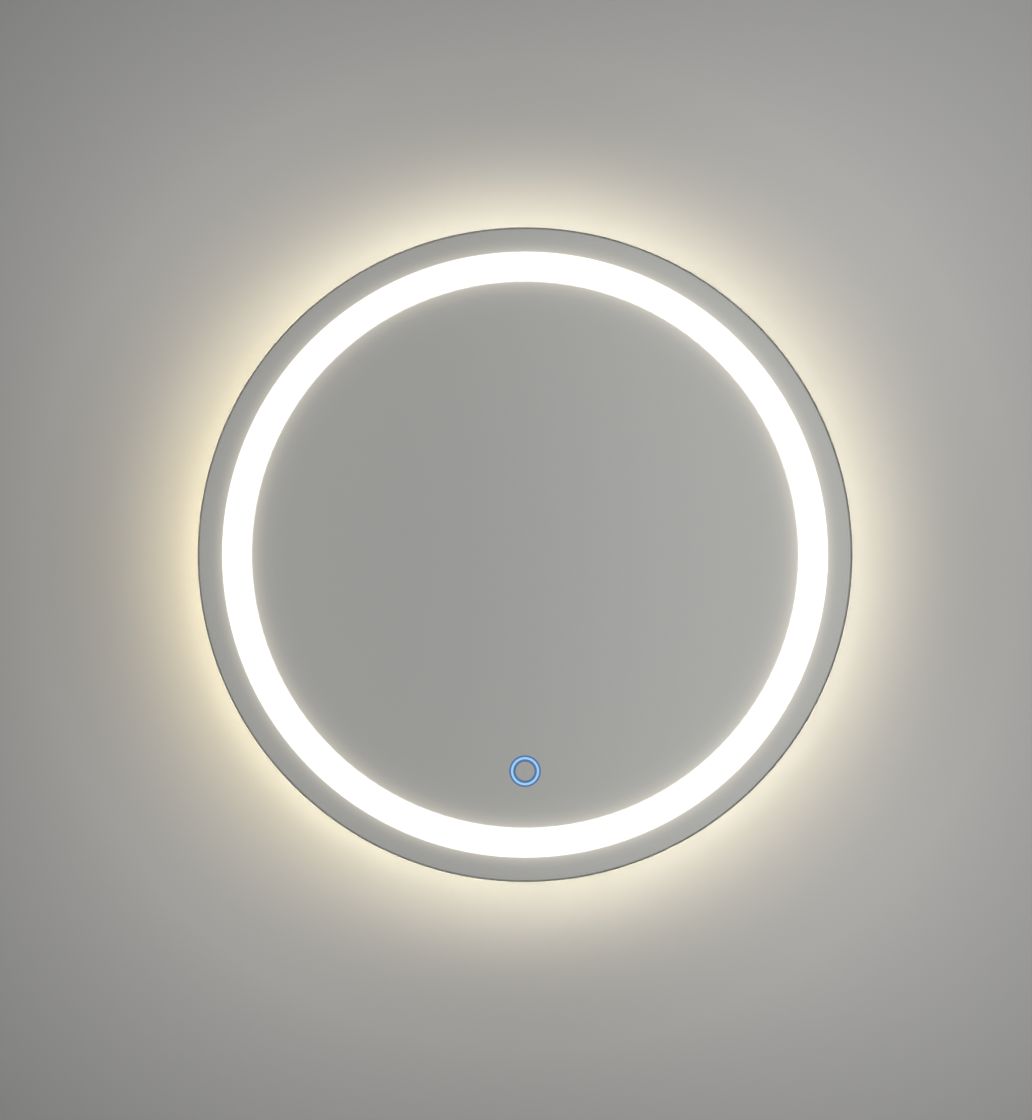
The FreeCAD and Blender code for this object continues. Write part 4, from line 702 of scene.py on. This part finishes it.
def blind_rivets(name, node, body):
    """Domed blind rivets with the pit of the broken mandrel, and the bulb on their far side."""
    top, tip = depths(node)
    seat, far = top + RIVET_HEAD, tip - RIVET_HEAD
    turned(name, node, "rivet_aluminium", [
        (0.42 * body, seat - 0.55),
        (0.46 * body, seat - 1.12),
        (0.62 * body, seat - 1.19),
        (1.20 * body, seat - 1.04),
        (1.68 * body, seat - 0.62),
        (1.94 * body, seat - 0.22),
        (2.00 * body, seat),
        (body, seat + 0.02),
        (body, far),
        (1.30 * body, far + 0.05),
        (1.50 * body, far + 0.35),
        (1.46 * body, far + 0.85),
        (1.10 * body, far + 1.15),
        (0.40 * body, far + 1.19),
    ])


pan_screws("crossbar_pan_screws", "crossbar_screws", radius=3.0, height=1.9, core=1.5)
pan_screws("driver_pan_screws", "driver_screws", radius=2.5, height=1.6, core=1.25)
pan_screws("terminal_box_pan_screws", "terminal_box_screws", radius=2.5, height=1.6, core=1.25)
blind_rivets("hook_blind_rivets", "hook_rivets", body=2.0)
blind_rivets("splice_blind_rivets", "splice_rivets", body=1.0)


# ---- stage ------------------------------------------------------------------------------------

FLOOR_Z, FLOOR_R, FLOOR_SIDES = -1.45, 7.5, 96
WALL_HALF, WALL_TOP = 3.0, 1.6
WALL_TINT = (1.0, 0.995, 0.985)
# The wall's tone at these distances from the mirror's axis, a painted halo of the mirror's light.
WALL_PAINTED_HALO = ((0.30, 0.42), (0.46, 0.474), (0.72, 0.333))


def plane(name, corners):
    """A flat piece of the stage."""
    mesh = bpy.data.meshes.new(name)
    mesh.from_pydata(corners, [], [tuple(range(len(corners)))])
    item = bpy.data.objects.new(name, mesh)
    bpy.context.scene.collection.objects.link(item)
    return item


def make_floor():
    """A pale disc, small enough that the mirror doesn't show it to the camera."""
    turns = [2 * math.pi * index / FLOOR_SIDES for index in range(FLOOR_SIDES)]
    floor = plane("floor", [(FLOOR_R * math.cos(turn), FLOOR_R * math.sin(turn), FLOOR_Z)
                            for turn in turns])
    kit = Kit("stage_floor")
    floor.data.materials.append(kit.surface(Base_Color=(0.78, 0.78, 0.76), Roughness=0.7,
                                            Emission_Color=(1, 1, 0.98), Emission_Strength=0.06))


def make_wall():
    """A plain backdrop that can be seen from its front only, so that the mirror's back stays in view.
    It carries painted light: lighter round the mirror as a painted halo, lighter to the right, and
    lighter along the diagonals."""
    wall = plane("backdrop", [(-WALL_HALF, 0, FLOOR_Z), (WALL_HALF, 0, FLOOR_Z),
                              (WALL_HALF, 0, WALL_TOP), (-WALL_HALF, 0, WALL_TOP)])
    wall.visible_shadow = wall.visible_glossy = wall.visible_diffuse = False
    kit = Kit("stage_wall")
    x, _, _ = kit.xyz(kit.object_point())
    r = kit.radius()
    # Painted halo: the wall is lighter a little way out from the mirror.
    tone = kit.ramp(r, [(place, shade(WALL_TINT, grey)) for place, grey in WALL_PAINTED_HALO])
    # Painted light: lighter to the right, the side of the key lamp.
    side = kit.remap(x, -0.5, 0.5, 0.93, 1.07)
    # Painted light along the diagonals, close round the mirror.
    turn = kit.math("ARCCOSINE", kit.math("DIVIDE", x, kit.math("MAXIMUM", r, 0.01)))
    fourfold = kit.math("COSINE", kit.times(turn, 4.0))
    square = kit.add(1.0, kit.times(fourfold, kit.remap(r, 0.33, 0.39, 0, -0.06)))
    painted_light = kit.times(side, square)
    paint = kit.node("BsdfDiffuse", {"Color": kit.scaled(tone, kit.vector(painted_light, painted_light, painted_light))})
    clear = kit.node("BsdfTransparent")
    behind = kit.node("NewGeometry").outputs["Backfacing"]
    both = kit.node("MixShader", {0: behind, 1: paint.outputs[0], 2: clear.outputs[0]})
    wall.data.materials.append(kit.finish(both.outputs[0]))


# What the surroundings give to surfaces that scatter light.
SOFT_FILL = (0.33, 0.33, 0.335)


def make_world():
    """Grey surroundings that the mirror shows, a little lighter to the right, and behind the wall
    a light from above for the metal of the back."""
    world = bpy.data.worlds.new("surroundings")
    bpy.context.scene.world = world
    world.use_nodes = True
    kit = Kit(tree=world.node_tree)
    across, ahead, up = kit.xyz(kit.node("TexCoord").outputs["Generated"])
    rightward = kit.remap(across, -0.05, 0.10, smooth=True)
    in_front = kit.mix(rightward, (0.346, 0.346, 0.339), (0.434, 0.434, 0.426))
    above = kit.ramp(kit.remap(up, -0.6, 0.8), [(0.0, 0.30), (0.35, 0.50), (0.6, 0.70), (1.0, 0.95)])
    panel = kit.ramp(kit.remap(across, 0.3, 0.9),
                     [(0.0, 0.9), (0.35, 1.0), (0.6, 1.45), (0.85, 0.95)], "EASE")
    shown = kit.mix(kit.remap(ahead, 0.0, 0.05), in_front, kit.scaled(above, panel))
    path = kit.node("LightPath")
    bent = kit.math("MAXIMUM", path.outputs["Is Glossy Ray"], path.outputs["Is Transmission Ray"])
    seen = kit.math("MAXIMUM", path.outputs["Is Camera Ray"], bent)
    background = kit.node("Background", {"Color": kit.mix(seen, SOFT_FILL, shown), "Strength": 1.0})
    out = kit.node("OutputWorld")
    kit.tree.links.new(background.outputs[0], out.inputs["Surface"])


def area_light(name, place, target, size, watts, colour=(1, 1, 1), glossy=True):
    """A square lamp that the camera doesn't see. One that isn't glossy is hidden from mirrors too."""
    data = bpy.data.lights.new(name, "AREA")
    data.shape = "SQUARE"
    data.size = size
    data.energy = watts
    data.color = colour
    lamp = bpy.data.objects.new(name, data)
    bpy.context.scene.collection.objects.link(lamp)
    lamp.location = place
    aim = Vector(target) - Vector(place)
    lamp.rotation_euler = aim.to_track_quat("-Z", "Y").to_euler()
    lamp.visible_camera = False
    lamp.visible_glossy = lamp.visible_transmission = glossy
    return lamp


LAMP_WIDTH = 0.003
# The shares of red, green and blue that the leftmost lamps lose.
WARMER_LEFT = (0.0, 0.06, 0.19)


def ring_of_lamps(name, count, radius, depth, tilt, watts, colour, leftward):
    """Long lamps in a ring, for the side diffuser's light on the wall. They are warmer at the left,
    and leftward is the share by which they are stronger there."""
    length = 2 * math.pi * radius / count
    for index in range(count):
        turn = 2 * math.pi * (index + 0.5) / count
        outward = Vector((math.sin(turn), 0, math.cos(turn)))
        place = MIDDLE + outward * radius + Vector((0, -depth, 0))
        aim = outward * math.cos(tilt) + Vector((0, math.sin(tilt), 0))
        warmer = max(0.0, -math.sin(turn)) ** 2
        tone = [part * (1 - warmer * cut) for part, cut in zip(colour, WARMER_LEFT)]
        power = watts / count * (1 - leftward * (math.sin(turn) + 0.25 * math.cos(turn)))
        lamp = area_light(f"{name}_{index}", place, place + aim, length, power, tone, glossy=False)
        lamp.data.shape = "RECTANGLE"
        lamp.data.size_y = LAMP_WIDTH
        along = outward.cross(Vector((0, 1, 0)))
        lamp.rotation_euler = rotation_from(along, aim)


def rotation_from(along, aim):
    """Euler angles that turn a lamp's X to along and its -Z to aim."""
    back = -aim
    up = back.cross(along)
    return Matrix((along, up, back)).transposed().to_euler()


# The photo's size in pixels, and how much of the mirror's plane its width covers.
PHOTO_WIDTH, PHOTO_HEIGHT = 1032, 1120
SEEN_WIDTH = 0.9454
CAMERA_DISTANCE = 2.5
CAMERA_LEFT, CAMERA_DOWN = 0.0083, 0.0049


def make_camera():
    """Straight on, a little left of the mirror's axis and below it, as the photo was taken."""
    data = bpy.data.cameras.new("camera")
    seen_height = SEEN_WIDTH * PHOTO_HEIGHT / PHOTO_WIDTH
    data.sensor_width = 36.0
    data.lens = data.sensor_width * CAMERA_DISTANCE / seen_height
    camera = bpy.data.objects.new("camera", data)
    camera.location = (-CAMERA_LEFT, GLASS_FRONT - CAMERA_DISTANCE, CENTRE_Z - CAMERA_DOWN)
    camera.rotation_euler = (math.pi / 2, 0, 0)
    bpy.context.scene.collection.objects.link(camera)
    bpy.context.scene.camera = camera


make_floor()
make_wall()
make_world()
area_light("key", (2.2, -2.0, 0.9), MIDDLE, size=1.6, watts=32.5, glossy=False)
area_light("fill", (-2.4, -2.2, 0.5), MIDDLE, size=2.0, watts=14.5, glossy=False)
ring_of_lamps("halo_near", count=32, radius=0.2935, depth=0.015, tilt=0.0, watts=0.425,
              colour=(1.0, 0.96, 0.73), leftward=0.22)
ring_of_lamps("halo_wide", count=24, radius=0.302, depth=0.050, tilt=math.radians(30), watts=0.71,
              colour=(1.0, 0.89, 0.68), leftward=0.06)
area_light("rear_key", (-1.7, 2.0, 1.0), MIDDLE, size=1.3, watts=30)
area_light("rear_fill", (2.0, 1.9, 0.2), MIDDLE, size=1.6, watts=15, glossy=False)
make_camera()
bpy.context.scene.view_settings.view_transform = "Standard"
